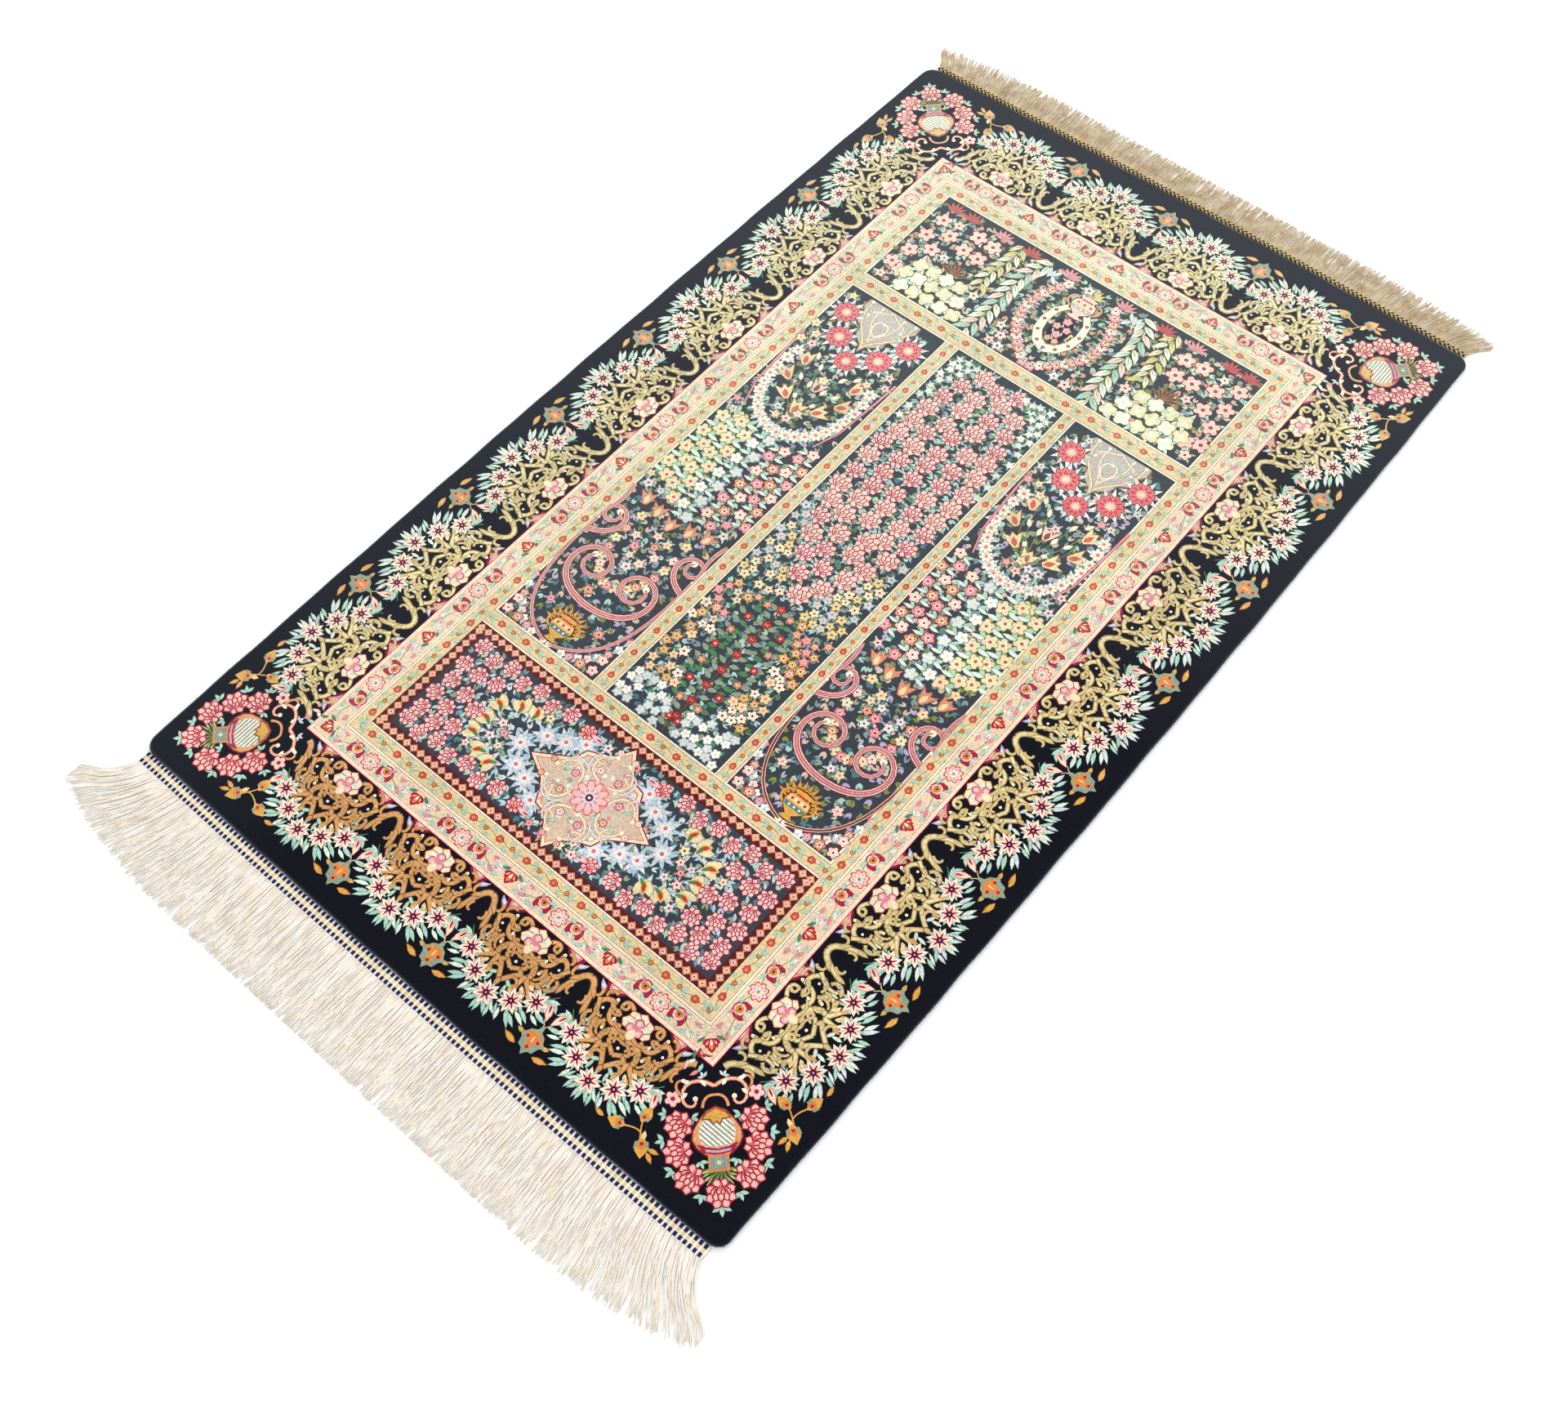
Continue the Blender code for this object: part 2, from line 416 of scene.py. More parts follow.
def arc(pen, stretch, metal, shade, shine, leafTones):
    # one arch of the border: arabesques rising from the guard band to five star flowers
    for side in bothSides(pen):
        halfFlower(side)
        for index, (u, v, turn, length, width, bend) in enumerate(arcBlades):
            leaf(side.at(u * stretch, v, turn), length, width, bend, leafTones[index % 3], rim=0.5)
        for a, b, c, d, wide, narrow, pearl in arcArms:
            path = bezierOf(*wider((a, b, c, d), stretch))
            scroll(side, path, wide * 1.6, narrow * 1.6, metal, shade)
            side.fill(shine, ribbonOf(path, wide * 0.5, narrow * 0.36))
            if pearl:
                side.at(*path[-1]).fill(pearl, ringOf(6, narrow * 0.55))
        side.at(12 * stretch, 37).fill(metal, ringOf(7, 4.6))
        side.at(12 * stretch, 37).fill(shade, ringOf(5, 1.5))
        side.at(24 * stretch, 59, -40).fill(metal, leafOf(12, 6.5))
        side.at(16 * stretch, 60, 10).fill("amber", leafOf(10, 5.5))
        side.at(30 * stretch, 57, -75).fill("amber", leafOf(10, 5.5))
        for points in arcCurls:
            scroll(side, bezierOf(*wider(points, stretch), 5), 4.4, 3.0, metal, shade)
        for u, v, turn, length in arcLeaves:
            side.at(u * stretch, v, turn).fill(shade, leafOf(length, 6.4, 0.2))
            side.at(u * stretch, v, turn).fill(metal, leafOf(length - 1, 5.0, 0.2))
        side.at(22.5 * stretch, 22).fill("cream", leafOf(5, 3.0))
        side.at(38 * stretch, 23).fill("cream", ringOf(6, 1.5))
        for points in (((20, 18), (26, 24), (31, 20), (28, 15)), ((33, 30), (42, 34), (46, 28), (41, 24))):
            scroll(side, wider(bezierOf(*points, 6), stretch), 3.4, 2.6, metal, shade)
        side.at(22 * stretch, 57, -35).fill("straw", leafOf(9, 4.5))
        side.at(27 * stretch, 52, -75).fill("straw", leafOf(8, 4.0))
        stem(side, wider(((50, 50), (54, 47), (58, 42)), stretch), 1.2, "leafGreen")
        bud(side.at(55.5 * stretch, 48.5, -23 if stretch < 1.05 else -27), 21)
    pen.at(0, 63).fill(shade, leafOf(11, 7, blunt=0.3))
    pen.at(0, 64).fill(metal, leafOf(9, 5, blunt=0.3))
    pen.at(0, 43).fill("cream", ringOf(5, 1.8))
    fanFlower(pen)
    for u, v in arcStars:
        starFlower(pen.at(u * stretch, v))
        if u:
            starFlower(pen.at(-u * stretch, v))


def finial(pen):
    # the angular flower between two arcs, with two yellow crescents
    half = [(3, 78), (8, 80.5), (10.5, 85), (15.5, 88), (10.5, 92), (8.5, 99), (3.5, 100.5), (0, 106)]
    for side in bothSides(pen):
        stem(side, [(0, 76), (1.6, 71), (5.5, 67)], 0.9, "straw")
        side.at(11, 101, -96).fill("rust", leafOf(17, 7, 0.12))
        side.at(11.5, 101.2, -96).fill("amber", leafOf(15.5, 5.6, 0.12))
        side.at(12, 88.5, -100).fill("amber", leafOf(8, 4.6))
    pen.at(0, 72).fill("sage", leafOf(10, 5))
    pen.fill("sage", [(0, 73), *half, *mirrorOf(half[:-1])])
    for side in bothSides(pen):
        side.at(5.2, 86.2).fill("orange", ringOf(7, 4.3))
        side.at(6.3, 88).fill("crimson", ringOf(5, 2.0))
        side.at(8.4, 93.5).fill("slate", leafOf(5, 2.2))
    pen.fill("orange", [(-2.4, 80), (2.4, 80), (3, 92), (3.6, 95), (0, 100), (-3.6, 95), (-3, 92)])
    pen.at(0, 96.6).fill("crimson", ringOf(5, 2.1))
    pen.at(0, 84).fill("straw", leafOf(8, 1.8))


# corners, +v outwards along the diagonal: roses as u, v, radius, turn, leaves as u, v, turn, size
wreathRoses = ((34.5, 50.7, 14.2, -58), (36.5, 75.5, 14.4, -76), (27.5, 100.2, 14.6, -40))
cornerLeaves = (
    (0, 127, 0, 10), (17, 116, -18, 8.5), (42, 92, -52, 9), (49, 64, -80, 8.5), (16.5, 86, 20, 7.5),
    (22, 45, 60, 7.5), (46, 40, -100, 7.5),
)


def urn(pen):
    body = [(0, 37), (9, 41), (16, 49), (21.5, 58), (22.5, 66), (19, 73), (12.5, 79), (9.5, 81)]
    whole = body + mirrorOf(body[1:])
    pen.fill("garnet", [(u * 1.08, (v - 60) * 1.07 + 60) for u, v in whole])
    pen.fill("apricot", whole)
    pen.at(0, 61).fill("cream", ringOf(12, 17.2))
    for step in range(-4, 5):
        offset = step * 3.6
        reach = math.sqrt(16.4**2 - offset**2)
        pen.at(0, 61, -45).fill("slate", boxOf(-reach, offset - 0.75, reach, offset + 0.75))
    for dye, foot, half, notch in (
        ("rust", (0, 37.4), [(10, 42), (14, 48), (6, 49), (3.4, 54)], (0, 51)),
        ("amber", (0, 38.4), [(9, 43), (12, 47), (5, 47.6), (3, 52)], (0, 49.4)),
    ):
        pen.fill(dye, [foot, *half, notch, *mirrorOf(half)])
    band = [(-20, 69), (-10, 73.5), (0, 75), (10, 73.5), (20, 69)]
    pen.fill("crimson", band + [(14, 78.5), (0, 81.5), (-14, 78.5)])
    band = [(-20, 68), (-10, 72), (0, 73.4), (10, 72), (20, 68)]
    pen.fill("apricot", band + [(19.5, 70), (0, 75.4), (-19.5, 70)])
    pen.fill("lilac", [(-12, 75.4), (0, 77), (12, 75.4), (11, 77.8), (0, 79.2), (-11, 77.8)])
    pen.fill("orange", boxOf(-9.6, 80.5, 9.6, 96))
    pen.fill("slate", boxOf(-7.6, 82.5, 7.6, 94))
    pen.at(0, 88).fill("sage", ringOf(6, 4.8))
    pen.at(0, 88).fill("straw", ringOf(5, 2.2))


def cornerPiece(pen):
    # an urn that spills sprigs, inside a horseshoe of roses
    for side in bothSides(pen):
        for u, v, turn, size in cornerLeaves:
            if u or side.flip == pen.flip:
                trefoil(side.at(u, v, turn), size)
        path = bezierOf((0, 17), (-16, 6), (-30, 12), (-30, 25), 6)
        path += bezierOf((-30, 25), (-30, 38), (-15, 38), (-18, 28), 6)[1:]
        scroll(side, path, 4.6, 3.2, "apricot", "garnet", "cream")
        side.fill("shell", ribbonOf(path, 1.7, 1.2))
        for points, tip, pearl in (
            (((-12, 37), (-11, 27), (-5, 25), (0, 25.5)), 3.0, None),
            (((-30, 24), (-38, 18), (-36, 8), (-28, 10)), 2.6, "cream"),
        ):
            scroll(side, bezierOf(*points), 3.4, tip, "apricot", "garnet", pearl)
        for u, v, turn in ((-22, 13, 120), (-25, 22, 60), (-8, 17, 160)):
            side.at(u, v, turn).fill("cream", leafOf(8, 4.2, 0.2))
        trefoil(side.at(-9, 8, 150), 6, "mist")
        roundFlower(side.at(38.5, 26), 7.6, "blush", "crimson", "garnet")
    for turn in range(-78, 79, 13):
        blade = pen.at(0, 93, -turn)
        blade.fill("forest" if turn % 2 else "olive", leafOf(20, 5.4))
        stem(blade, [(0, 2), (0.4, 10), (0, 19)], 1.0, "straw")
    urn(pen)
    for side in bothSides(pen):
        for u, v, radius, turn in wreathRoses:
            rose(side.at(u, v, turn), radius)
    rose(pen.at(0, 115.5), 14.6)


def cornerBuds(pen):
    # gold and orange buds beside a corner; +u runs from the corner along the edge
    stem(pen, bezierOf((4, 96), (10, 88), (14, 84), (17, 76)), 1.6, "amber")
    stem(pen, bezierOf((28, 93), (20, 88), (14, 86), (10, 88)), 1.6, "amber")
    leaf(pen.at(8, 84, 30), 12, 5, 0.2, "straw", "rust", 0.5)
    for u, v, turn, size in ((17, 80, 182, 1.0), (6, 90, 35, 1.15), (26, 92, -75, 1.05)):
        spot = pen.at(u, v, turn, size)
        spot.fill("amber", leafOf(17, 12))
        spot.at(0, 1).fill("sage", [(-5.4, 2), (5.4, 2), (6.4, 8), (2.5, 6), (0, 9), (-2.5, 6), (-6.4, 8)])
        spot.at(0, 6).fill("orange", ringOf(6, 3.6))
        spot.at(0, 5).fill("crimson", ringOf(5, 1.7))
    for u, v, turn in ((-6, 98, 70), (-5, 95, 110), (47, 98, -90)):
        pen.at(u, v, turn).fill("rust", leafOf(12, 5.6, 0.1))
        pen.at(u, v, turn).fill("amber", leafOf(11, 4.4, 0.1))


def edgePens(along, pitch, count, horizontal):
    # pens in mm on both opposite edges of the guard band, +v pointing out of the rug
    pens = []
    for i in range(count):
        step = (i - (count - 1) / 2) * pitch
        for sign in (-1, 1):
            if horizontal:
                pens.append(Pen(step, layout["middleY"] + sign * along, 0 if sign > 0 else math.pi, 0.001))
            else:
                turn = -math.pi / 2 if sign > 0 else math.pi / 2
                pens.append(Pen(sign * along, layout["middleY"] + step, turn, 0.001))
    return pens


edges = (
    (layout["guardHalfY"], layout["endPitch"], layout["endArcs"], True),
    (layout["guardHalfX"], layout["sidePitch"], layout["sideArcs"], False),
)


def drawBorder():
    halfX = layout["guardHalfX"]
    halfY = layout["guardHalfY"]
    for along, pitch, count, horizontal in edges:
        for pen in edgePens(along, pitch, count, horizontal):
            if horizontal and pen.y < 0:
                tones = ("gold", "umber", "apricot", ("mint", "mint", "mintPale"))
            else:
                tones = ("brass", "bronze", "brassPale", ("mintPale", "mist", "mint"))
            arc(pen, pitch / layout["arcPitch"], *tones)
        for pen in edgePens(along, pitch, count - 1, horizontal):
            finial(pen)
    for signX in (-1, 1):
        for signY in (-1, 1):
            x = signX * halfX
            y = layout["middleY"] + signY * halfY
            turn = math.atan2(-signX, signY)
            cornerPiece(Pen(x, y, turn, 0.001))
            upright = 0.0 if signY > 0 else math.pi
            cornerBuds(Pen(x, y, upright, 0.001, -signX * signY))
            sideways = -math.pi / 2 if signX > 0 else math.pi / 2
            cornerBuds(Pen(x, y, sideways, 0.001, signX * signY))


# round places that the larger motifs take up, so that fillers keep off them: x, y, radius in metres
taken = []


def free(x, y, radius):
    return all((x - a) ** 2 + (y - b) ** 2 > (radius + c) ** 2 for a, b, c in taken)


def mark(pen, u=0.0, v=0.0, radius=8.0):
    x, y = pen.point(u, v)
    taken.append((x, y, radius * pen.size))


def millis(x, y, turn=0.0, flip=1):
    # a pen that draws in millimetres, at a place given in millimetres
    return Pen(x / 1000, y / 1000, math.radians(turn), 0.001, flip)


def frames(lines):
    for dye, inset in lines:
        halfX = layout["guardHalfX"] - inset
        halfY = layout["guardHalfY"] - inset
        Pen(0, layout["middleY"]).fill(dye, boxOf(-halfX, -halfY, halfX, halfY))


def rosette(pen, radius=9.8):
    pen.fill("crimson", lobesOf(8, radius * 1.07, radius * 0.80))
    pen.fill("blush", lobesOf(8, radius * 0.94, radius * 0.66))
    pen.fill("rose", starOf(8, radius * 0.80, radius * 0.36))
    pen.fill("ivory", ringOf(8, radius * 0.46))
    pen.fill("mint", ringOf(6, radius * 0.30))
    pen.fill("crimson", ringOf(5, radius * 0.12))


def horseshoe(pen):
    half = [(-3, 4), (-5, 8.6), (-9.4, 5), (-9.8, -2), (-6, -8)]
    pen.fill("crimson", [*half[1:], (0, -9.8), *mirrorOf(half), half[0]])
    pen.at(0, -2.2).fill("blush", ringOf(8, 6.2))
    pen.at(0, -2.4).fill("orange", ringOf(7, 4.4))
    pen.at(0, -2.4).fill("garnet", ringOf(5, 1.8))
    for side in bothSides(pen):
        leaf(side.at(2.5, 4.0, -30), 6.5, 2.8, fill="mint", edge="teal", rim=0.3)


def lotus(pen):
    for side in bothSides(pen):
        leaf(side.at(5.5, -8, -50), 9, 3.4, 0.2, "leafGreen", "forest", 0.3)
        for turn, length, dye in ((-64, 9.4, "crimson"), (-34, 10.4, "red")):
            petal(side.at(0, -5, turn), dye, length, 6.0)
        petal(side.at(0, -4.6, -50), "blush", 7.0, 2.6)
    petal(pen.at(0, -6), "crimson", 14.5, 8.4)
    petal(pen.at(0, -5), "orange", 10.5, 5.0)
    petal(pen.at(0, -4), "cream", 5.4, 2.4)


def guardUnit(pen, stretch):
    middle = pen.at(0, -15.8)
    rosette(middle)
    for side in bothSides(middle):
        horseshoe(side.at(21.5 * stretch, 0))
        stem(side, bezierOf((8, -3), (24, -12), (40, 12), (56 * stretch, 0)), 0.9, "leafGreen")
        for u, v, turn in ((36, 4.5, -60), (41, -4, -118), (33, -6, 120)):
            leaf(side.at(u * stretch, v, turn), 10.5, 4.4, 0.1, "mintPale", "leafGreen", 0.4)
        bud(side.at(44 * stretch, 2.5, -100), 13, "white", "red", "mint")
        leaf(side.at(53 * stretch, -7, -70), 8.5, 3.6, -0.2, "mint", "leafGreen", 0.35)
        for u, v, turn, tone, edge in (
            (10, -8, -70, "mint", "teal"), (30, 9, -100, "mint", "teal"),
            (47, -6, 100, "rose", "crimson"), (30, -9, 60, "rose", "crimson"),
        ):
            leaf(side.at(u * stretch, v, turn), 9, 3.6, 0.1, tone, edge, 0.35)
        leaf(side.at(12 * stretch, 7.4, -80), 7.5, 3.0, 0.1, "mint", "leafGreen", 0.35)
    for side in bothSides(middle.at(66.6 * stretch, 0)):
        for u, v, turn, tone, edge in (
            (11, 6, -70, "mint", "teal"), (12, -2, -110, "mintPale", "teal"),
            (17, -7, -60, "blush", "crimson"), (18, 7, -100, "rose", "crimson"),
        ):
            leaf(side.at(u, v, turn), 9.5, 3.8, 0.15, tone, edge, 0.35)
    lotus(middle.at(66.6 * stretch, 0))


def goldStripe(x0, y0, x1, y1, width=14.0):
    # red buds, small orange buds and mint leaves in a row, with points in millimetres
    length = math.hypot(x1 - x0, y1 - y0)
    turn = math.degrees(math.atan2(y1 - y0, x1 - x0))
    count = max(1, round(length / 36))
    start = millis(x0, y0, turn)
    for i in range(count):
        unit = start.at((i + 0.5) * length / count, 0).at(0, 0, 0, width / 14, 1)
        flip = 1 if i % 2 else -1
        stem(unit, bezierOf((-18, 0), (-12, 6 * flip), (-6, -4 * flip), (0, 0)), 0.8, "leafGreen")
        stem(unit, bezierOf((0, 0), (6, 4 * flip), (12, -6 * flip), (18, 0)), 0.8, "leafGreen")
        unit.fill("crimson", [(-4.2, 0), (-2, 4.0), (3.0, 3.6), (5.8, 0), (3.0, -3.6), (-2, -4.0)])
        unit.fill("coral", [(-3.4, 0), (-1.6, 3.2), (2.4, 2.8), (4.8, 0), (2.4, -2.8), (-1.6, -3.2)])
        unit.fill("apricot", ringOf(5, 1.4))
        for u, v, angle in ((-8, 4.2, 65), (8, -4.2, -115), (11, 3.6, -60), (-11, -3.6, 120)):
            leaf(unit.at(u, v * flip, angle), 7.6, 3.2, 0.2 * flip, "mint", "teal", 0.35)
        unit.at(18, 0).fill("rust", ringOf(6, 3.1))
        unit.at(18, 0).fill("orange", ringOf(6, 2.2))


def drawGuards():
    frames(
        (
            ("crimson", 0.0), ("blush", 0.0009), ("ivory", 0.0017), ("rose", 0.0048), ("sand", 0.0055),
            ("ivory", 0.0262), ("rust", 0.0280), ("cream", 0.0286), ("rust", 0.0310), ("wheat", 0.0315),
            ("rust", 0.0466), ("cream", 0.0471), ("oxblood", 0.0494), ("charcoal", 0.0500),
        )
    )
    halfX = layout["guardHalfX"] * 1000 - 39
    halfY = layout["guardHalfY"] * 1000 - 39
    middle = layout["middleY"] * 1000
    for sign in (-1, 1):
        goldStripe(-halfX, middle + sign * halfY, halfX, middle + sign * halfY)
        goldStripe(sign * halfX, middle - halfY, sign * halfX, middle + halfY)
    for along, pitch, count, horizontal in edges:
        for pen in edgePens(along, pitch, count, horizontal):
            guardUnit(pen, pitch / layout["arcPitch"])
    for signX in (-1, 1):
        for signY in (-1, 1):
            x = signX * layout["guardHalfX"]
            y = layout["middleY"] + signY * layout["guardHalfY"]
            corner = Pen(x, y, math.atan2(-signX, signY), 0.001)
            corner.at(0, -22.3).fill("sand", ringOf(8, 11.0))
            lotus(corner.at(0, -22.3))


# the field's three columns between two wide panels, in millimetres
columns = {"left": (-233.5, -91.6), "middle": (-72.0, 79.0), "right": (95.5, 234.5)}
rows = {"top": (320.7, 485.0), "columns": (-307.0, 295.7), "bottom": (-488.5, -328.3)}


def sow(box, pitch, draw, seed, inside=None, radius=6.0, leafTones=("mint", "mintPale", "sage", "sky")):
    # small leafy blossoms wherever the larger motifs leave room: first all the leaves, then the flowers
    rng = random.Random(seed)
    x0, y0, x1, y1 = box
    spots = []
    y = y0 + pitch * 0.5
    row = 0
    while y < y1 - pitch * 0.3:
        x = x0 + pitch * (0.45 if row % 2 else 0.9)
        while x < x1 - pitch * 0.3:
            px = x + rng.uniform(-0.2, 0.2) * pitch
            py = y + rng.uniform(-0.2, 0.2) * pitch
            turn = rng.uniform(0, 360)
            if free(px / 1000, py / 1000, radius / 1000) and (inside is None or inside(px, py)):
                spots.append((px, py, turn, rng.random()))
                taken.append((px / 1000, py / 1000, radius * 0.75 / 1000))
            x += pitch
        y += pitch * 0.86
        row += 1
    for px, py, turn, pick in spots:
        for k in range(5):
            tone = leafTones[int(pick * 31 + k) % len(leafTones)]
            spot = millis(px, py, turn + 72 * k + 20 * pick)
            leaf(spot, pitch * (0.62 + 0.16 * pick), pitch * 0.25, 0.12, tone, "forest", 0.4)
    for px, py, turn, pick in spots:
        draw(millis(px, py, turn), pick)


def undergrowth(box, pitch, seed, tones, inside=None):
    # thin muted leaves under everything else, so that little bare ground is left
    rng = random.Random(seed)
    x0, y0, x1, y1 = box
    y = y0 + pitch * 0.4
    while y < y1 - 2:
        x = x0 + pitch * rng.uniform(0.2, 0.8)
        while x < x1 - 2:
            turn = rng.uniform(0, 360)
            px = x + rng.uniform(-0.25, 0.25) * pitch
            py = y + rng.uniform(-0.25, 0.25) * pitch
            if inside is None or inside(px, py):
                tone = tones[int(rng.random() * len(tones))]
                width = pitch * rng.uniform(0.24, 0.40)
                for side in (-1, 1):
                    spot = millis(px, py, turn + 28 * side)
                    spot.fill(tone, leafOf(pitch * rng.uniform(0.62, 0.9), width, 0.15 * side))
            x += pitch
        y += pitch * 0.8


def sprigFlower(pen, pick, fills, hearts, radius=5.6):
    index = int(pick * 997) % len(fills)
    size = radius * (0.86 + 0.3 * pick)
    pen.fill("oxblood", lobesOf(5, size * 1.12, size * 0.82))
    pen.fill(fills[index], lobesOf(5, size, size * 0.64))
    pen.fill("cream" if index % 2 else "blush", starOf(5, size * 0.66, size * 0.3, start=54))
    pen.fill(hearts[index % len(hearts)], ringOf(5, size * 0.28))


def along(pen, path, every):
    # a pen every so far along a path, facing the way it runs
    spots = []
    run = 0.0
    for (u0, v0), (u1, v1) in zip(path, path[1:]):
        length = math.hypot(u1 - u0, v1 - v0)
        while run < length:
            t = run / length
            angle = math.degrees(math.atan2(v1 - v0, u1 - u0)) - 90
            spots.append(pen.at(u0 + (u1 - u0) * t, v0 + (v1 - v0) * t, angle))
            run += every
        run -= length
    return spots


def vine(pen, path, every, flower, leafy, width, leafLength):
    # a stem with paired leaves and flowers set along it: leaves first, flowers over them
    stem(pen, path, width, "olive")
    spots = along(pen, path, every)
    for index, spot in enumerate(spots):
        side = 1 if index % 2 else -1
        leaf(spot.at(0, 0, 52 * side), leafLength, leafLength * 0.38, 0.1 * side, leafy, "forest", 0.4)
        leaf(spot.at(0, 1.5, -38 * side), leafLength, leafLength * 0.36, 0, "mint", "forest", 0.4)
        leaf(spot.at(0, 3, -95 * side), leafLength, leafLength * 0.34, 0, "mintPale", "forest", 0.4)
    for index, spot in enumerate(spots):
        side = 1 if index % 2 else -1
        flower(spot.at(-7.0 * side, 3.5, 20 * side), index)
        mark(spot, -6 * side, 3.5, 8.5)


def branch(pen, path, every, length, tones):
    # a stem feathered with paired long leaves
    spots = along(pen, path, every)
    for index, spot in enumerate(spots):
        for side in (-1, 1):
            tone = tones[(index + (side > 0)) % len(tones)]
            leaf(spot.at(0, 3 * side, 48 * side), length, length * 0.36, 0.2 * side, tone, "forest", 0.6)
            spot.at(0, 3 * side, 48 * side).fill("olive", leafOf(length * 0.6, 1.1, 0.14 * side))
            mark(spot, 8 * side, 5, 8)
    stem(pen, path, 1.3, "olive")


def vase(pen, size=1.0, rays=False, body="amber", lower="teal"):
    pen = pen.at(0, 0, 0, size)
    if rays:
        for turn in range(-80, 81, 16):
            blade = pen.at(0, 2, turn)
            blade.fill("rust", leafOf(25, 6.4))
            blade.fill("amber", leafOf(24, 4.6))
            blade.at(0, 6).fill("oxblood", leafOf(12, 1.8))
    outline = [(3.5, -16), (7, -15), (3, -11), (10, -5), (12.5, 1), (11, 7), (6.5, 10), (9.5, 14), (0, 15)]
    whole = outline + mirrorOf(outline[:-1])
    for side in bothSides(pen):
        scroll(side, bezierOf((10, -4), (21, -2), (20, 12), (9.5, 11.5)), 2.4, 2.0, "amber", "rust")
    pen.at(0, 0, 0, 1.08).fill("oxblood", whole)
    pen.fill(body, whole)
    pen.fill("straw", [(-11, 2), (11, 2), (10, 6.6), (-10, 6.6)])
    pen.fill(lower, [(-9.5, -4.5), (9.5, -4.5), (11.4, 0), (-11.4, 0)])
    for u in (-7, 0, 7):
        pen.at(u, 4.3).fill("red", ringOf(5, 1.8))
        pen.at(u * 0.8, -2.2).fill("cream", ringOf(5, 1.3))
    pen.fill("red", boxOf(-6, 8.6, 6, 10.6))


def fruitFan(pen, radius, count, dye, rim):
    for i in range(count):
        turn = -66 + 132 * i / (count - 1)
        leaf(pen.at(0, 0, turn), radius, radius * 0.24, 0, dye, rim, 0.4)


def pinkBlossom(pen, index=0, radius=7.4):
    pen.fill("garnet", lobesOf(5, radius * 1.14, radius * 0.84))
    pen.fill(("rose", "blush", "salmon")[index % 3], lobesOf(5, radius, radius * 0.68))
    pen.fill(("blush", "cream", "ivory")[index % 3], starOf(5, radius * 0.72, radius * 0.34, start=54))
    pen.fill("crimson", ringOf(5, radius * 0.24))


def whiteBlossom(pen, index=0, radius=7.4):
    roundFlower(pen, radius, "white" if index % 2 else "mist", "paleYellow", "slate")


def yellowBlossom(pen, index=0, radius=9.2):
    daisy(pen, radius, 5, "paleYellow" if index % 3 else "straw", "cream", "coral", "olive")


def ivoryBud(pen, index=0):
    pen.fill("olive", leafOf(13.4, 7.0))
    pen.at(0, 0.8).fill("straw" if index % 2 else "cream", leafOf(12, 5.4))


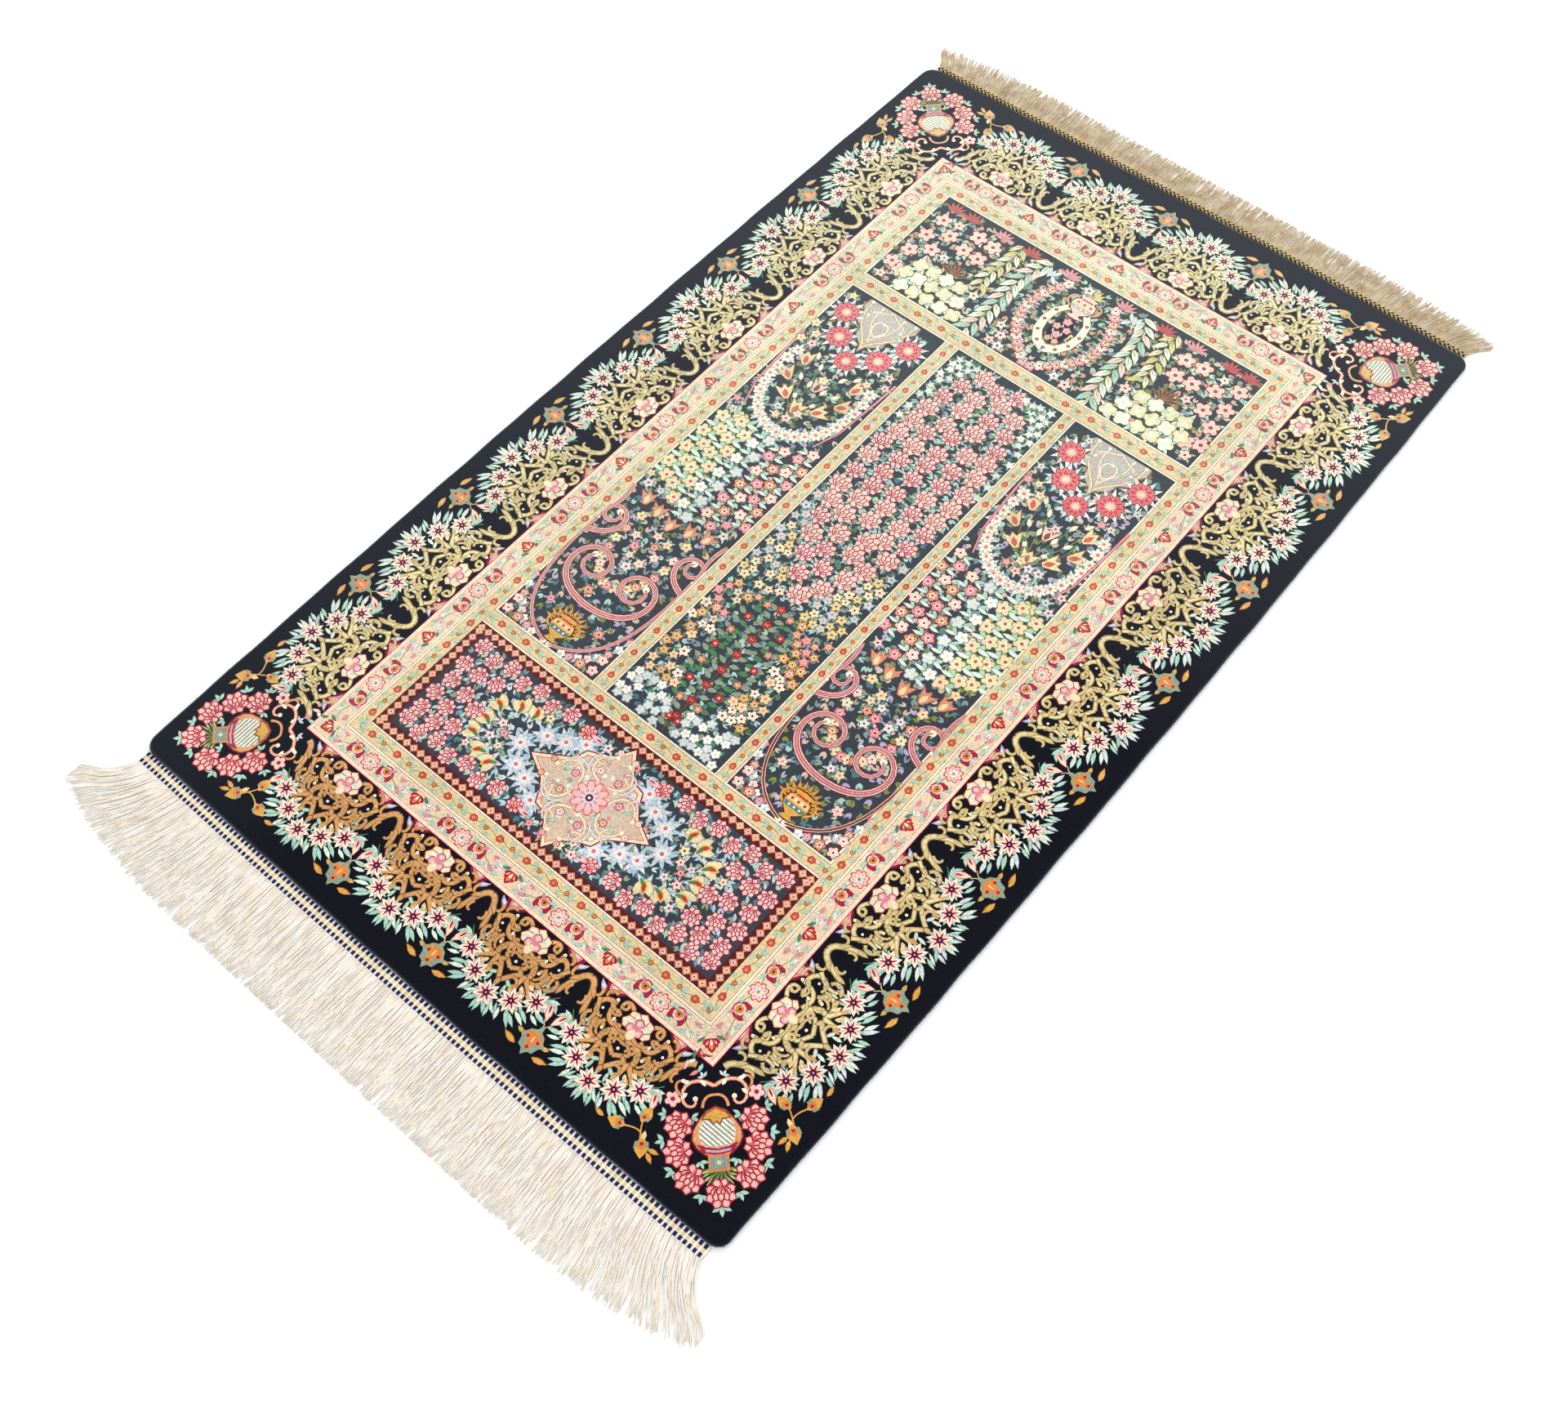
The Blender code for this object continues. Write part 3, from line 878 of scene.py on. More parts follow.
def topPanel():
    centre = millis(2.0, rows["top"][0])
    for side in bothSides(centre):
        for i in range(9):
            angle = math.radians(-90 - 150 * i / 8)
            spot = side.at(24 * math.cos(angle), 82 + 40 * math.sin(angle), math.degrees(angle) + 90 + 180)
            leaf(spot, 12, 4.4, 0.1, "mint", "teal", 0.4)
        ribbon = [(0, 40), (-13, 46), (-22, 60), (-25, 78), (-22, 98), (-12, 112)]
        side.fill("olive", ribbonOf(ribbon, 14.5, 9))
        side.fill("cream", ribbonOf(ribbon, 12.5, 7.6))
        for i, (u, v) in enumerate(ribbon):
            side.at(u, v).fill("garnet", ringOf(6, 2.6))
            side.at(u, v).fill("orange", ringOf(5, 1.2))
        for i in range(17):
            t = i / 16
            u = -57 * math.sin(math.pi * (0.03 + 0.74 * t)) * (1 - 0.10 * t)
            v = 8 + 132 * t - 8 * math.sin(math.pi * t)
            pinkBlossom(side.at(u, v, 30 * i), i, 7.4)
            leaf(side.at(u - 4, v + 2, 80), 8, 3, 0.1, "mint", "forest", 0.3)
            leaf(side.at(u + 4, v - 1, -80), 8, 3, 0.1, "sky", "forest", 0.3)
            mark(side, u, v, 7)
        for v in range(48, 122, 9):
            mark(side, -14, v, 17)
        path = bezierOf((-68, 150), (-98, 116), (-74, 50), (-88, 6), 14)
        branch(side, path, 13, 23, ("cream", "mintPale", "blush", "mint"))
        path = bezierOf((-112, 152), (-106, 120), (-122, 100), (-116, 74), 12)
        branch(side, path, 12.5, 20, ("paleYellow", "yellow", "cream"))
        for u, v, turn in (
            (-214, 128, 20), (-192, 112, -30), (-216, 96, 70), (-196, 80, 10), (-217, 64, 50), (-222, 36, 0),
            (-205, 30, 40),
        ):
            for k in range(3):
                leaf(side.at(u, v, turn + 120 * k), 17, 6.2, 0.1, "mint" if k else "mist", "forest", 0.5)
            daisy(side.at(u, v, turn), 11, 5, "shell", "blush", "crimson", "garnet")
            mark(side, u, v, 11)
        for u, v in ((-163, 132), (-140, 130), (-165, 104), (-143, 103)):
            leaf(side.at(u, v, 30 + u), 17, 6, 0.1, "mintPale", "forest", 0.5)
            daisy(side.at(u, v, v), 11.5, 5, "shell", "cream", "crimson", "garnet")
            mark(side, u, v, 11)
        for u in (-213, -187, -140, -97, -40):
            fruitFan(side.at(u, 147, 0), 17, 6, "red" if u % 2 else "rose", "garnet")
            mark(side, u, 153, 11)
        fruitFan(side.at(-153, 62), 21, 7, "brown", "apricot")
        mark(side, -153, 70, 14)
        for i in range(14):
            u = -190 + 19.5 * (i % 5) - 8 * (i // 5 % 2)
            v = 12 + 20 * (i // 5)
            spot = side.at(u, v, 38 * i)
            leaf(spot, 18, 6, 0.1, "mint" if i % 2 else "mist", "forest", 0.5)
            leaf(spot.at(0, 0, 150), 17, 5, 0.1, "mintPale", "forest", 0.5)
            spot.fill("olive", lobesOf(4, 11.2, 8.4))
            spot.fill("paleYellow" if i % 3 else "cream", lobesOf(4, 10.4, 7.4))
            spot.fill("mintPale", starOf(4, 6.4, 2.2))
            mark(side, u, v, 10)
        for u, v, turn in ((-66, 150, 200), (-58, 148, 170), (-50, 150, 150), (-58, 138, 230)):
            leaf(side.at(u, v, turn), 16, 5, 0.1, "mist", "slate", 0.4)
    vase(centre.at(0, 119), 1.25, body="blush", lower="stone")
    fruitFan(centre.at(0, 138), 18, 7, "yellow", "olive")
    centre.at(0, 74).fill("night", ringOf(12, 13.5, squash=1.7))
    for u, v, r in ((0, 90, 6), (-7, 78, 5.4), (7, 78, 5.4), (0, 66, 6), (-5, 56, 4.6), (5, 56, 4.6)):
        pinkBlossom(centre.at(u, v), int(v), r)
    for u, v in ((0, 79), (-6, 67), (6, 67), (0, 56)):
        leaf(centre.at(u, v, 20), 6, 2.6, 0, "mint", "forest", 0.3)

    def filler(pen, pick):
        sprigFlower(pen, pick, ("rose", "shell", "blush", "mist", "cream"), ("crimson", "garnet"), 6.6)

    sow((-231, 323, 231, 483), 16.0, filler, 21, None, 7.5)


def sideColumn(x0, x1, flip):
    mid = (x0 + x1) / 2
    half = abs(x1 - x0) / 2
    column = Pen(mid / 1000, 0, 0, 0.001, flip)
    # ogee at the head
    ogee = [(0, 217), (-4, 228), (-17, 238), (-20, 250), (-33, 258), (-31, 270), (-38, 280), (-37, 292)]
    rim = [(u * 1.05, v - 1.0) for u, v in ogee]
    column.fill("rust", rim + mirrorOf(rim[1:]))
    column.fill("stone", ogee + mirrorOf(ogee[1:]))
    for side in bothSides(column):
        for points, wide, tip, fill in (
            (((0, 224), (-4, 244), (-34, 250), (-32, 290)), 3.6, 3.0, "straw"),
            (((0, 236), (-2, 252), (-20, 258), (-16, 288)), 3.0, 2.6, "ivory"),
            (((0, 247), (-16, 258), (-8, 274), (0, 270)), 3.0, 2.6, "cream"),
            (((0, 290), (-10, 280), (-26, 284), (-24, 270)), 2.8, 2.4, "ivory"),
        ):
            scroll(side, bezierOf(*points), wide, tip, fill, "rust", "cream")
        for u, v in ((-24, 274), (-9, 286), (-25, 260), (-10, 262)):
            leaf(side.at(u, v, 40), 8, 3.4, 0.2, "mint", "rust", 0.4)
        for v in range(225, 292, 9):
            mark(side, -(v - 222) * 0.26, v, 10)
    for u, v, r in ((-47, 257, 16), (47, 256, 16), (-29.7, 222, 16.5), (29.7, 221, 16.5), (0, 197.8, 15)):
        for turn in range(0, 360, 30):
            leaf(column.at(u, v, turn + 10), r + 8.5, 6.0, 0, "white" if turn % 60 else "mist", "slate", 0.4)
        column.at(u, v).fill("crimson", lobesOf(10, r * 1.05, r * 0.86))
        for k in range(10):
            spot = column.at(u, v, 36 * k)
            petal(spot, "peony", r, r * 0.52)
            spot.at(0, r * 0.24).fill("red", leafOf(r * 0.62, r * 0.26))
        column.at(u, v).fill("shell", starOf(10, r * 0.46, r * 0.26))
        column.at(u, v).fill("straw", ringOf(6, r * 0.2))
        mark(column, u, v, r + 4)
    # lilies and buds inside the horseshoe
    for side in bothSides(column):
        for a, b, c, d in (
            ((0, 88), (-8, 110), (-26, 112), (-33, 150)),
            ((0, 88), (-4, 110), (-16, 112), (-18, 130)),
            ((0, 92), (-14, 130), (-28, 140), (-30, 172)),
            ((0, 92), (-5, 130), (-16, 150), (-14, 176)),
        ):
            stem(side, bezierOf(a, b, c, d), 1.3, "olive")
        for u, v, turn, dye in ((-38, 162, 25, "straw"), (-38, 134, 52, "wheat"), (-22, 110, 45, "straw")):
            lily(side.at(u + 4, v + 1, turn), 21, dye, "coral", "rust")
            mark(side, u, v + 5, 9)
        for u, v, turn in ((-14, 166, 20), (-22, 142, 35), (-9, 138, 10), (-26, 178, 30), (-10, 116, 30)):
            ivoryBud(side.at(u, v, turn), int(v))
            mark(side, u, v + 4, 5)
        for u, v, turn in ((-18, 156, -30), (-6, 150, 60), (-31, 146, 10), (-14, 124, 70)):
            leaf(side.at(u, v, turn), 10, 3.6, 0.2, "leafGreen", "forest", 0.3)
    lily(column.at(0, 98), 21, "straw", "coral", "rust")
    lily(column.at(0, 138), 19, "blush", "rust", "brown")
    # horseshoe of pale daisies
    for i in range(22):
        angle = math.radians(158 + 224 * i / 21)
        u = 58 * math.cos(angle)
        v = 142 + (76 if math.sin(angle) < 0 else 90) * math.sin(angle)
        spot = column.at(u, v, 20 * i)
        for turn in (0, 120, 240):
            leaf(spot.at(0, 0, turn), 13, 5.0, 0, "mist", "slate", 0.35)
        daisy(spot, 8.4 if i % 2 else 7.6, 7, "cream", "blush", "peony", "slate")
        mark(column, u, v, 9)
    for sign in (-1, 1):
        ribbon = [(sign * (half - inset), v) for inset, v in ((2.5, 205), (5, 160), (9, 110), (20, 76))]
        column.fill("oxblood", ribbonOf(ribbon, 4.4, 3.0))
        column.fill("rose", ribbonOf(ribbon, 3.0, 1.8))
    # bunches below
    for points, every, flower, leafy, width, leafLength in (
        (((-58, -60), (-48, -10), (-62, 30), (-44, 62)), 14.5, yellowBlossom, "sky", 1.2, 17),
        (((-30, -80), (-34, -30), (-20, 10), (-28, 52)), 14.5, yellowBlossom, "sky", 1.2, 17),
        (((0, -92), (-10, -40), (8, 0), (0, 58)), 14, whiteBlossom, "mist", 1.3, 14),
        (((28, -84), (20, -30), (40, 10), (24, 50)), 13, pinkBlossom, "leafGreen", 1.2, 13),
        (((60, -62), (46, -10), (66, 30), (54, 62)), 12.5, pinkBlossom, "leafGreen", 1.2, 13),
    ):
        vine(column, bezierOf(*points, 18), every, flower, leafy, width, leafLength)
    # tulips and the tall loop
    for u, v, turn in ((-42, -104, 18), (-22, -110, 8), (0, -116, 0), (22, -110, -8), (42, -104, -18)):
        lily(column.at(u, v, turn), 19, "salmon", "straw", "rust")
        mark(column, u, v + 8, 10)
    for i in range(19):
        t = i / 18
        angle = math.pi * (1.14 - 1.28 * t)
        u = 37 * math.cos(angle) * (1 - 0.12 * math.sin(math.pi * t))
        v = -118 - 92 * abs(math.sin(math.pi * t)) ** 0.8
        spot = column.at(-u, v, 25 * i)
        leaf(spot.at(0, 0, 90), 10, 3.6, 0, "mint", "forest", 0.3)
        (pinkBlossom if i % 2 else yellowBlossom)(spot, i, 6.2)
        mark(column, -u, v, 7)
    # paired scrolls over the urn
    for side in bothSides(column):
        lower = curlOf((0, -243), 180, 205, -70, -900, 26)
        upper = curlOf((-71, -168), 12, 128, 60, 900, 20)
        outer = bezierOf((-69, -90), (-60, -120), (-70, -128), (-71, -150), 8)
        base = bezierOf((-70, -150), (-74, -252), (-52, -292), (-4, -304), 12)
        for path, wide, tip in ((upper, 9.0, 5.4), (lower, 10.0, 5.4), (outer, 6.6, 5.0), (base, 5.0, 5.0)):
            scroll(side, path, wide, tip, "blush", "garnet", "cream")
            side.fill("brown", ribbonOf(path, wide * 0.46, tip * 0.42))
            side.fill("rose", ribbonOf(path, wide * 0.26, tip * 0.24))
            for u, v in path:
                mark(side, u, v, 7)
        for i, (u, v) in enumerate(bezierOf((-70, -248), (-64, -282), (-44, -300), (-22, -304), 7)):
            (whiteBlossom if i % 2 else pinkBlossom)(side.at(u, v), i, 5.2)
            leaf(side.at(u, v, 200), 9, 3.6, 0, "sky", "slate", 0.3)
            mark(side, u, v, 6)
        for u, v in ((-62, -298), (-46, -300), (-62, -282)):
            pinkBlossom(side.at(u, v), int(u), 6.4)
            mark(side, u, v, 6)
    vase(column.at(0, -282), 1.15, rays=True)
    for u in (-14, 0, 14):
        mark(column, u, -274, 16)

    def filler(pen, pick):
        fills = ("mist", "straw", "blush", "sky", "rose")
        if pen.y * 1000 < -90:
            fills = ("rose", "blush", "salmon", "mist", "paleYellow")
        sprigFlower(pen, pick, fills, ("crimson", "orange", "garnet"), 5.8)

    sow((x0 + 2, -305, x1 - 2, 294), 14.0, filler, 33, None, 6.8)


# the tall tree of roses: height and half width, from the top down
cypressShape = (
    (288, 14), (280, 32), (250, 52), (200, 61), (130, 68), (50, 68), (0, 56), (-30, 42), (-80, 22), (-110, 4),
)


def cypressHalf(y):
    for (y0, w0), (y1, w1) in zip(cypressShape, cypressShape[1:]):
        if y0 >= y >= y1:
            return w0 + (w1 - w0) * (y0 - y) / (y0 - y1)
    return 0.0


def middleColumn():
    x0, x1 = columns["middle"]
    mid = (x0 + x1) / 2
    column = millis(mid, 0)
    rng = random.Random(9)
    spots = []
    y = 277.0
    while y > -108:
        half = max(0.0, cypressHalf(y) - 10)
        count = 1 if half < 8 else max(2, round(half * 2 / 29) + 1)
        for i in range(count):
            u = 0.0 if count == 1 else -half + 2 * half * i / (count - 1)
            dip = 5.0 * math.cos(math.pi * i) * (1 if 0 < i < count - 1 else 0.4)
            place = (u + rng.uniform(-2, 2), y + dip + rng.uniform(-2, 2))
            spots.append((*place, rng.uniform(-24, 24), rng.uniform(11.2, 13.2)))
        y -= 24.5
    for u, v, turn, size in spots:
        for angle in (100, -100, 178, 140, 60):
            leaf(column.at(u, v, angle + turn), 18, 5.2, 0.15, "mint" if angle > 0 else "sky", "forest", 0.4)
    for u, v, turn, size in spots:
        rose(column.at(u, v, turn), size * 1.1, "blush", "shell" if size > 12.2 else "rose", "garnet")

    def crown(pen, pick):
        whiteBlossom(pen, int(pick * 10), 4.6)
        leaf(pen.at(3, 0, -90), 8, 3, 0.1, "leafGreen", "forest", 0.3)

    def lower(pen, pick):
        y = pen.y * 1000
        if y > -20:
            fills = ("sky", "sky", "mist")
        elif y > -110:
            fills = ("sky", "paleYellow", "yellow")
        elif y > -170:
            fills = ("rose", "amber", "paleYellow", "salmon")
        else:
            fills = ("straw", "cream", "amber")
        sprigFlower(pen, pick, fills, ("orange", "crimson", "teal"), 5.8)

    def corners(pen, pick):
        whiteBlossom(pen, int(pick * 10), 5.4)

    # the lower tree: a stem, rounded green leaves and red flowers
    for y in range(-300, -108, 12):
        half = 34 * math.sin(math.pi * min(1, (-y - 100) / 175)) ** 0.7 + 3
        for side in bothSides(column):
            for k in range(1 + int(half // 13)):
                spot = side.at(3 + 12 * k, y + 2, -62 - 8 * (k % 2))
                leaf(spot, 12, 6.4, 0.1, "leafGreen" if k % 2 else "sage", "forest", 0.4)
            mark(side, half * 0.5, y + 6, max(6, half * 0.5))
        if y % 24 == 0:
            roundFlower(column.at(0, y + 6), 5.4, "red", "straw", "oxblood")
            tone = "salmon" if y % 48 else "red"
            for side in bothSides(column):
                roundFlower(side.at(half * 0.62 + 4, y + 2), 4.8, tone, "straw", "oxblood")
    stem(column, [(0, -304), (0, -250), (0, -190), (0, -112)], 2.0, "brown")

    def beside(x, y):
        return abs(x - mid) > cypressHalf(y) + 4

    sow((x0 + 2, 120, x1 - 2, 294), 11.5, crown, 41, beside, 4.5)
    sow((x0 + 2, -258, x1 - 2, 120), 12.2, lower, 42, beside, 5.6)
    sow((x0 + 2, -305, x1 - 2, -258), 10.0, corners, 43, None, 5.0)


def tulip(pen):
    for turn in (-48, 48, 150, 210):
        leaf(pen.at(0, 0, turn), 15, 5.0, 0.1, "mist", "lilac", 0.4)
    petal(pen.at(-3.6, -7, 14), "brown", 18.2, 9.6)
    petal(pen.at(3.6, -7, -14), "brown", 18.2, 9.6)
    petal(pen.at(-3.6, -6.4, 14), "paleYellow", 17, 8.4)
    petal(pen.at(3.6, -6.4, -14), "paleYellow", 17, 8.4)
    petal(pen.at(0, -7.4), "yellow", 16.5, 8.6)
    pen.at(0, -4.6).fill("coral", leafOf(12, 5.6))
    pen.at(0, -2.6).fill("red", leafOf(8, 3.2))


def bottomPanel():
    y0, y1 = rows["bottom"]
    middle = (y0 + y1) / 2
    Pen().fill("oxblood", boxOf(-0.2335, y0 / 1000, 0.2335, y1 / 1000))
    for horizontal in (True, False):
        count = 46 if horizontal else 15
        span = 467 if horizontal else 148
        for i in range(count):
            step = (i + 0.5) / count * span - span / 2
            for sign in (-1, 1):
                spot = millis(step, middle + sign * 74) if horizontal else millis(sign * 227.2, middle + step)
                spot.fill("salmon" if i % 2 else "apricot", ringOf(4, 5.3))
                spot.fill("blush", ringOf(4, 3.0))
                spot.fill("brown", ringOf(4, 1.2))
    Pen().fill("oxblood", boxOf(-0.2212, (y0 + 12) / 1000, 0.2212, (y1 - 12) / 1000))
    Pen().fill("charcoal", boxOf(-0.2202, (y0 + 13) / 1000, 0.2202, (y1 - 13) / 1000))
    panel = millis(0, middle)
    undergrowth((-216, y0 + 17, 216, y1 - 17), 10.0, 64, ("teal", "mint", "sky", "sage", "mist", "slate"))
    lozenge = []
    for i in range(24):
        angle = 2 * math.pi * i / 24
        reach = 1 / (abs(math.cos(angle)) / 74 + abs(math.sin(angle)) / 64)
        reach *= 1.10 if i % 3 == 0 else (0.95 if i % 3 == 1 else 1.0)
        lozenge.append((reach * math.cos(angle), reach * math.sin(angle)))
    for side in bothSides(panel):
        for u, v in ((-98, 1), (-82, 24), (-62, 31), (-84, -20), (-66, -26), (-44, 42), (-44, -40)):
            for turn in range(0, 360, 40):
                leaf(side.at(u, v, turn + u), 17.5, 5.0, 0.1, "mist" if turn % 80 else "sky", "slate", 0.4)
            daisy(side.at(u, v), 9.6, 8, "mist", "white", "peony", "lilac")
            mark(side, u, v, 13)
        for u, v, turn in (
            (-108, 36, 30), (-126, 32, 45), (-146, 20, 75), (-146, 0, 90), (-146, -20, 105), (-126, -32, 135),
            (-108, -36, 150),
        ):
            tulip(side.at(u, v, turn))
            leaf(side.at(u, v, turn + 150), 10, 3.6, 0, "leafGreen", "forest", 0.3)
            mark(side, u, v, 9)
        for i in range(7):
            for v in (-55, 55):
                u = -209 + 21.5 * i
                rose(side.at(u, v + 3 * (-1) ** i, 40 * i), 11.0, "blush", "rose", "garnet")
                leaf(side.at(u + 10, v, -20), 9, 4, 0.1, "teal", "forest", 0.3)
                leaf(side.at(u + 10, v, 160), 9, 4, 0.1, "mint", "forest", 0.3)
                mark(side, u, v, 10)
        for u, v in (
            (-210, 31), (-188, 30), (-166, 34), (-206, 9), (-182, 5), (-162, -2), (-209, -13), (-187, -19),
            (-207, -35), (-184, -39), (-165, -30),
        ):
            rose(side.at(u, v, u + v), 11.2, "blush", "rose", "garnet")
            leaf(side.at(u + 9, v + 6, -30), 8.6, 3.8, 0.1, "sky", "forest", 0.3)
            mark(side, u, v, 10)
        for v in (-54, 54):
            rose(side.at(-52, v, 30), 9.6)
            bud(side.at(-30, v, 90), 18, "blush", "crimson", "sky")
            mark(side, -52, v, 10)

    def filler(pen, pick):
        sprigFlower(pen, pick, ("rose", "blush", "mist", "paleYellow"), ("crimson", "garnet"), 5.0)

    sow((-218, y0 + 15, 218, y1 - 15), 13.0, filler, 51, None, 6.0)
    panel.fill("garnet", [(u * 1.03, v * 1.03) for u, v in lozenge])
    panel.fill("ivory", lozenge)
    panel.fill("salmon", [(u * 0.93, v * 0.93) for u, v in lozenge])
    panel.fill("beige", [(u * 0.90, v * 0.90) for u, v in lozenge])
    undergrowth((-40, middle - 34, 40, middle + 34), 8.5, 65, ("mint", "sage", "rose", "stone", "mintPale"))
    for k in range(4):
        for side in bothSides(panel.at(0, 0, 90 * k)):
            path = bezierOf((6, 20), (26, 22), (30, 44), (8, 52))
            scroll(side, path, 3.8, 2.8, "ivory", "garnet", "cream")
            scroll(side, curlOf((22, 22), 45, 40, -60, -330, 12), 3.4, 2.4, "mist", "garnet", "rose")
            scroll(side, curlOf((10, 44), -70, 26, 60, 260, 9), 3.0, 2.2, "ivory", "crimson", "rose")
            leaf(side.at(9, 38, -30), 10, 4, 0.2, "mint", "leafGreen", 0.4)
            pinkBlossom(side.at(30, 12), k, 4.6)
            pinkBlossom(side.at(10, 58), k + 1, 3.8)
    daisy(panel, 19, 10, "shell", "ivory", "plum", "peony")
    panel.fill("lilac", starOf(10, 13, 7, start=72))
    panel.fill("blush", starOf(10, 10, 5))
    panel.fill("plum", ringOf(8, 4.4))
    panel.fill("cream", ringOf(5, 1.8))


def drawField():
    # gold stripes between the panels
    for y0, y1 in ((rows["columns"][1], rows["top"][0]), (rows["bottom"][1], rows["columns"][0])):
        for dye, inset in (("cream", 0.0), ("rust", 2.2), ("wheat", 2.8)):
            Pen().fill(dye, boxOf(-0.2335, (y0 + inset) / 1000, 0.2335, (y1 - inset) / 1000))
        goldStripe(-233, (y0 + y1) / 2, 233, (y0 + y1) / 2)
    for x0, x1 in ((columns["left"][1], columns["middle"][0]), (columns["middle"][1], columns["right"][0])):
        for dye, inset in (("cream", 0.0), ("rust", 1.8), ("wheat", 2.4)):
            Pen().fill(dye, boxOf((x0 + inset) / 1000, -0.3072, (x1 - inset) / 1000, 0.2959))
        goldStripe((x0 + x1) / 2, -307, (x0 + x1) / 2, 295.7, 12.5)
    for x0, x1 in (columns["left"], columns["right"]):
        tones = ("sage", "teal", "mint", "slate", "olive", "beige", "lilac")
        undergrowth((x0 + 5, -302, x1 - 5, 291), 10.5, 61, tones)
    x0, x1 = columns["middle"]
    undergrowth((x0 + 5, -302, x1 - 5, 291), 10.0, 62, ("teal", "mint", "sky", "leafGreen", "sage", "slate"))
    y0, y1 = rows["top"]
    undergrowth((-229, y0 + 5, 229, y1 - 5), 10.5, 63, ("sage", "mint", "beige", "olive", "slate", "salmon"))
    panels = (
        (topPanel, (), (-233.5, 233.5), rows["top"]),
        (middleColumn, (), columns["middle"], rows["columns"]),
        (sideColumn, (*columns["left"], 1), columns["left"], rows["columns"]),
        (sideColumn, (*columns["right"], -1), columns["right"], rows["columns"]),
        (bottomPanel, (), (-233.5, 233.5), rows["bottom"]),
    )
    for panel, values, (x0, x1), (y0, y1) in panels:
        limit["box"] = (x0 / 1000, y0 / 1000, x1 / 1000, y1 / 1000)
        panel(*values)
    limit["box"] = None


# the pile, cut from the pattern
pile = {
    "edgeRoll": 0.0032,  # how far the nap rolls over at the rim
    "wobble": 0.0009,  # unevenness of the outline
    "thinning": 0.00004,  # how far a point may stray from a straight run and be dropped
    "sideBow": 0.006,
    "endBow": 0.004,
    "cornerRadius": 0.015,
    "fuzzPerMetre": 5200,
    "fuzzLength": 0.0026,
    "fuzzWidth": 0.00022,  # half the width of a loose end
    "bowSpan": 0.396,  # half the width over which the cotton follows the bowed ends
}


def linear(code):
    parts = [int(code[i : i + 2], 16) / 255 for i in (1, 3, 5)]
    return [p / 12.92 if p <= 0.04045 else ((p + 0.055) / 1.055) ** 2.4 for p in parts]


def edgeOf(inset, steps=0.006):
    # the rug's outline, anticlockwise from the near left, in the pattern's own frame
    halfX = (pileHigh.x - pileLow.x) / 2 - pile["sideBow"]
    halfY = (pileHigh.y - pileLow.y) / 2 - pile["endBow"]
    radius = pile["cornerRadius"]
    rough = []
    for signX, signY, start in ((1, -1, -90), (1, 1, 0), (-1, 1, 90), (-1, -1, 180)):
        for i in range(9):
            angle = math.radians(start + 90 * i / 8)
            cx = signX * (halfX - radius)
            cy = signY * (halfY - radius)
            rough.append((cx + radius * math.cos(angle), cy + radius * math.sin(angle)))
    points = []
    for i, (x0, y0) in enumerate(rough):
        x1, y1 = rough[(i + 1) % len(rough)]
        count = max(1, round(math.hypot(x1 - x0, y1 - y0) / steps))
        points += [(x0 + (x1 - x0) * k / count, y0 + (y1 - y0) * k / count) for k in range(count)]
    outline = []
    for i, (x, y) in enumerate(points):
        bowX = pile["sideBow"] * (1 - (y / halfY) ** 2) * abs(x) / halfX
        bowY = pile["endBow"] * (1 - (x / halfX) ** 2) * abs(y) / halfY
        shake = pile["wobble"] * (math.sin(i * 0.37) * math.sin(i * 0.113 + 1) - 1) * 0.5
        shift = shake - inset
        nx = x / halfX if abs(x) > abs(y) * halfX / halfY else 0.0
        ny = y / halfY if nx == 0.0 else 0.0
        if abs(x) > halfX - radius and abs(y) > halfY - radius:
            cx = math.copysign(halfX - radius, x)
            cy = math.copysign(halfY - radius, y)
            nx = (x - cx) / radius
            ny = (y - cy) / radius
        outline.append((x + math.copysign(bowX, x) + nx * shift, y + math.copysign(bowY, y) + ny * shift))
    return outline


def tilesOf():
    # rectangles that part the pile in pieces, each with its place in that piece's own map
    tiles = []
    fieldX = layout["guardHalfX"] + 0.001
    lowY = layout["middleY"] - layout["guardHalfY"] - 0.001
    highY = layout["middleY"] + layout["guardHalfY"] + 0.001
    outX = 0.42
    outY = 0.69
    for name, x0, x1, y0, y1, count, upright in (
        ("border_left", -outX, -fieldX, -outY, outY, 3, True),
        ("border_right", fieldX, outX, -outY, outY, 3, True),
        ("border_near", -fieldX, fieldX, -outY, lowY, 2, False),
        ("border_far", -fieldX, fieldX, highY, outY, 2, False),
        ("field_a", -fieldX, -fieldX / 2, lowY, highY, 3, True),
        ("field_b", -fieldX / 2, 0.0, lowY, highY, 3, True),
        ("field_c", 0.0, fieldX / 2, lowY, highY, 3, True),
        ("field_d", fieldX / 2, fieldX, lowY, highY, 3, True),
    ):
        for i in range(count):
            if upright:
                step = (y1 - y0) / count
                tiles.append((name, (x0, y0 + step * i, x1, y0 + step * (i + 1)), i, count, upright))
            else:
                step = (x1 - x0) / count
                tiles.append((name, (x0 + step * i, y0, x0 + step * (i + 1), y1), i, count, upright))
    return tiles


def forwards(points):
    area = sum(a[0] * b[1] - b[0] * a[1] for a, b in zip(points, points[1:] + points[:1]))
    return points if area > 0 else points[::-1]


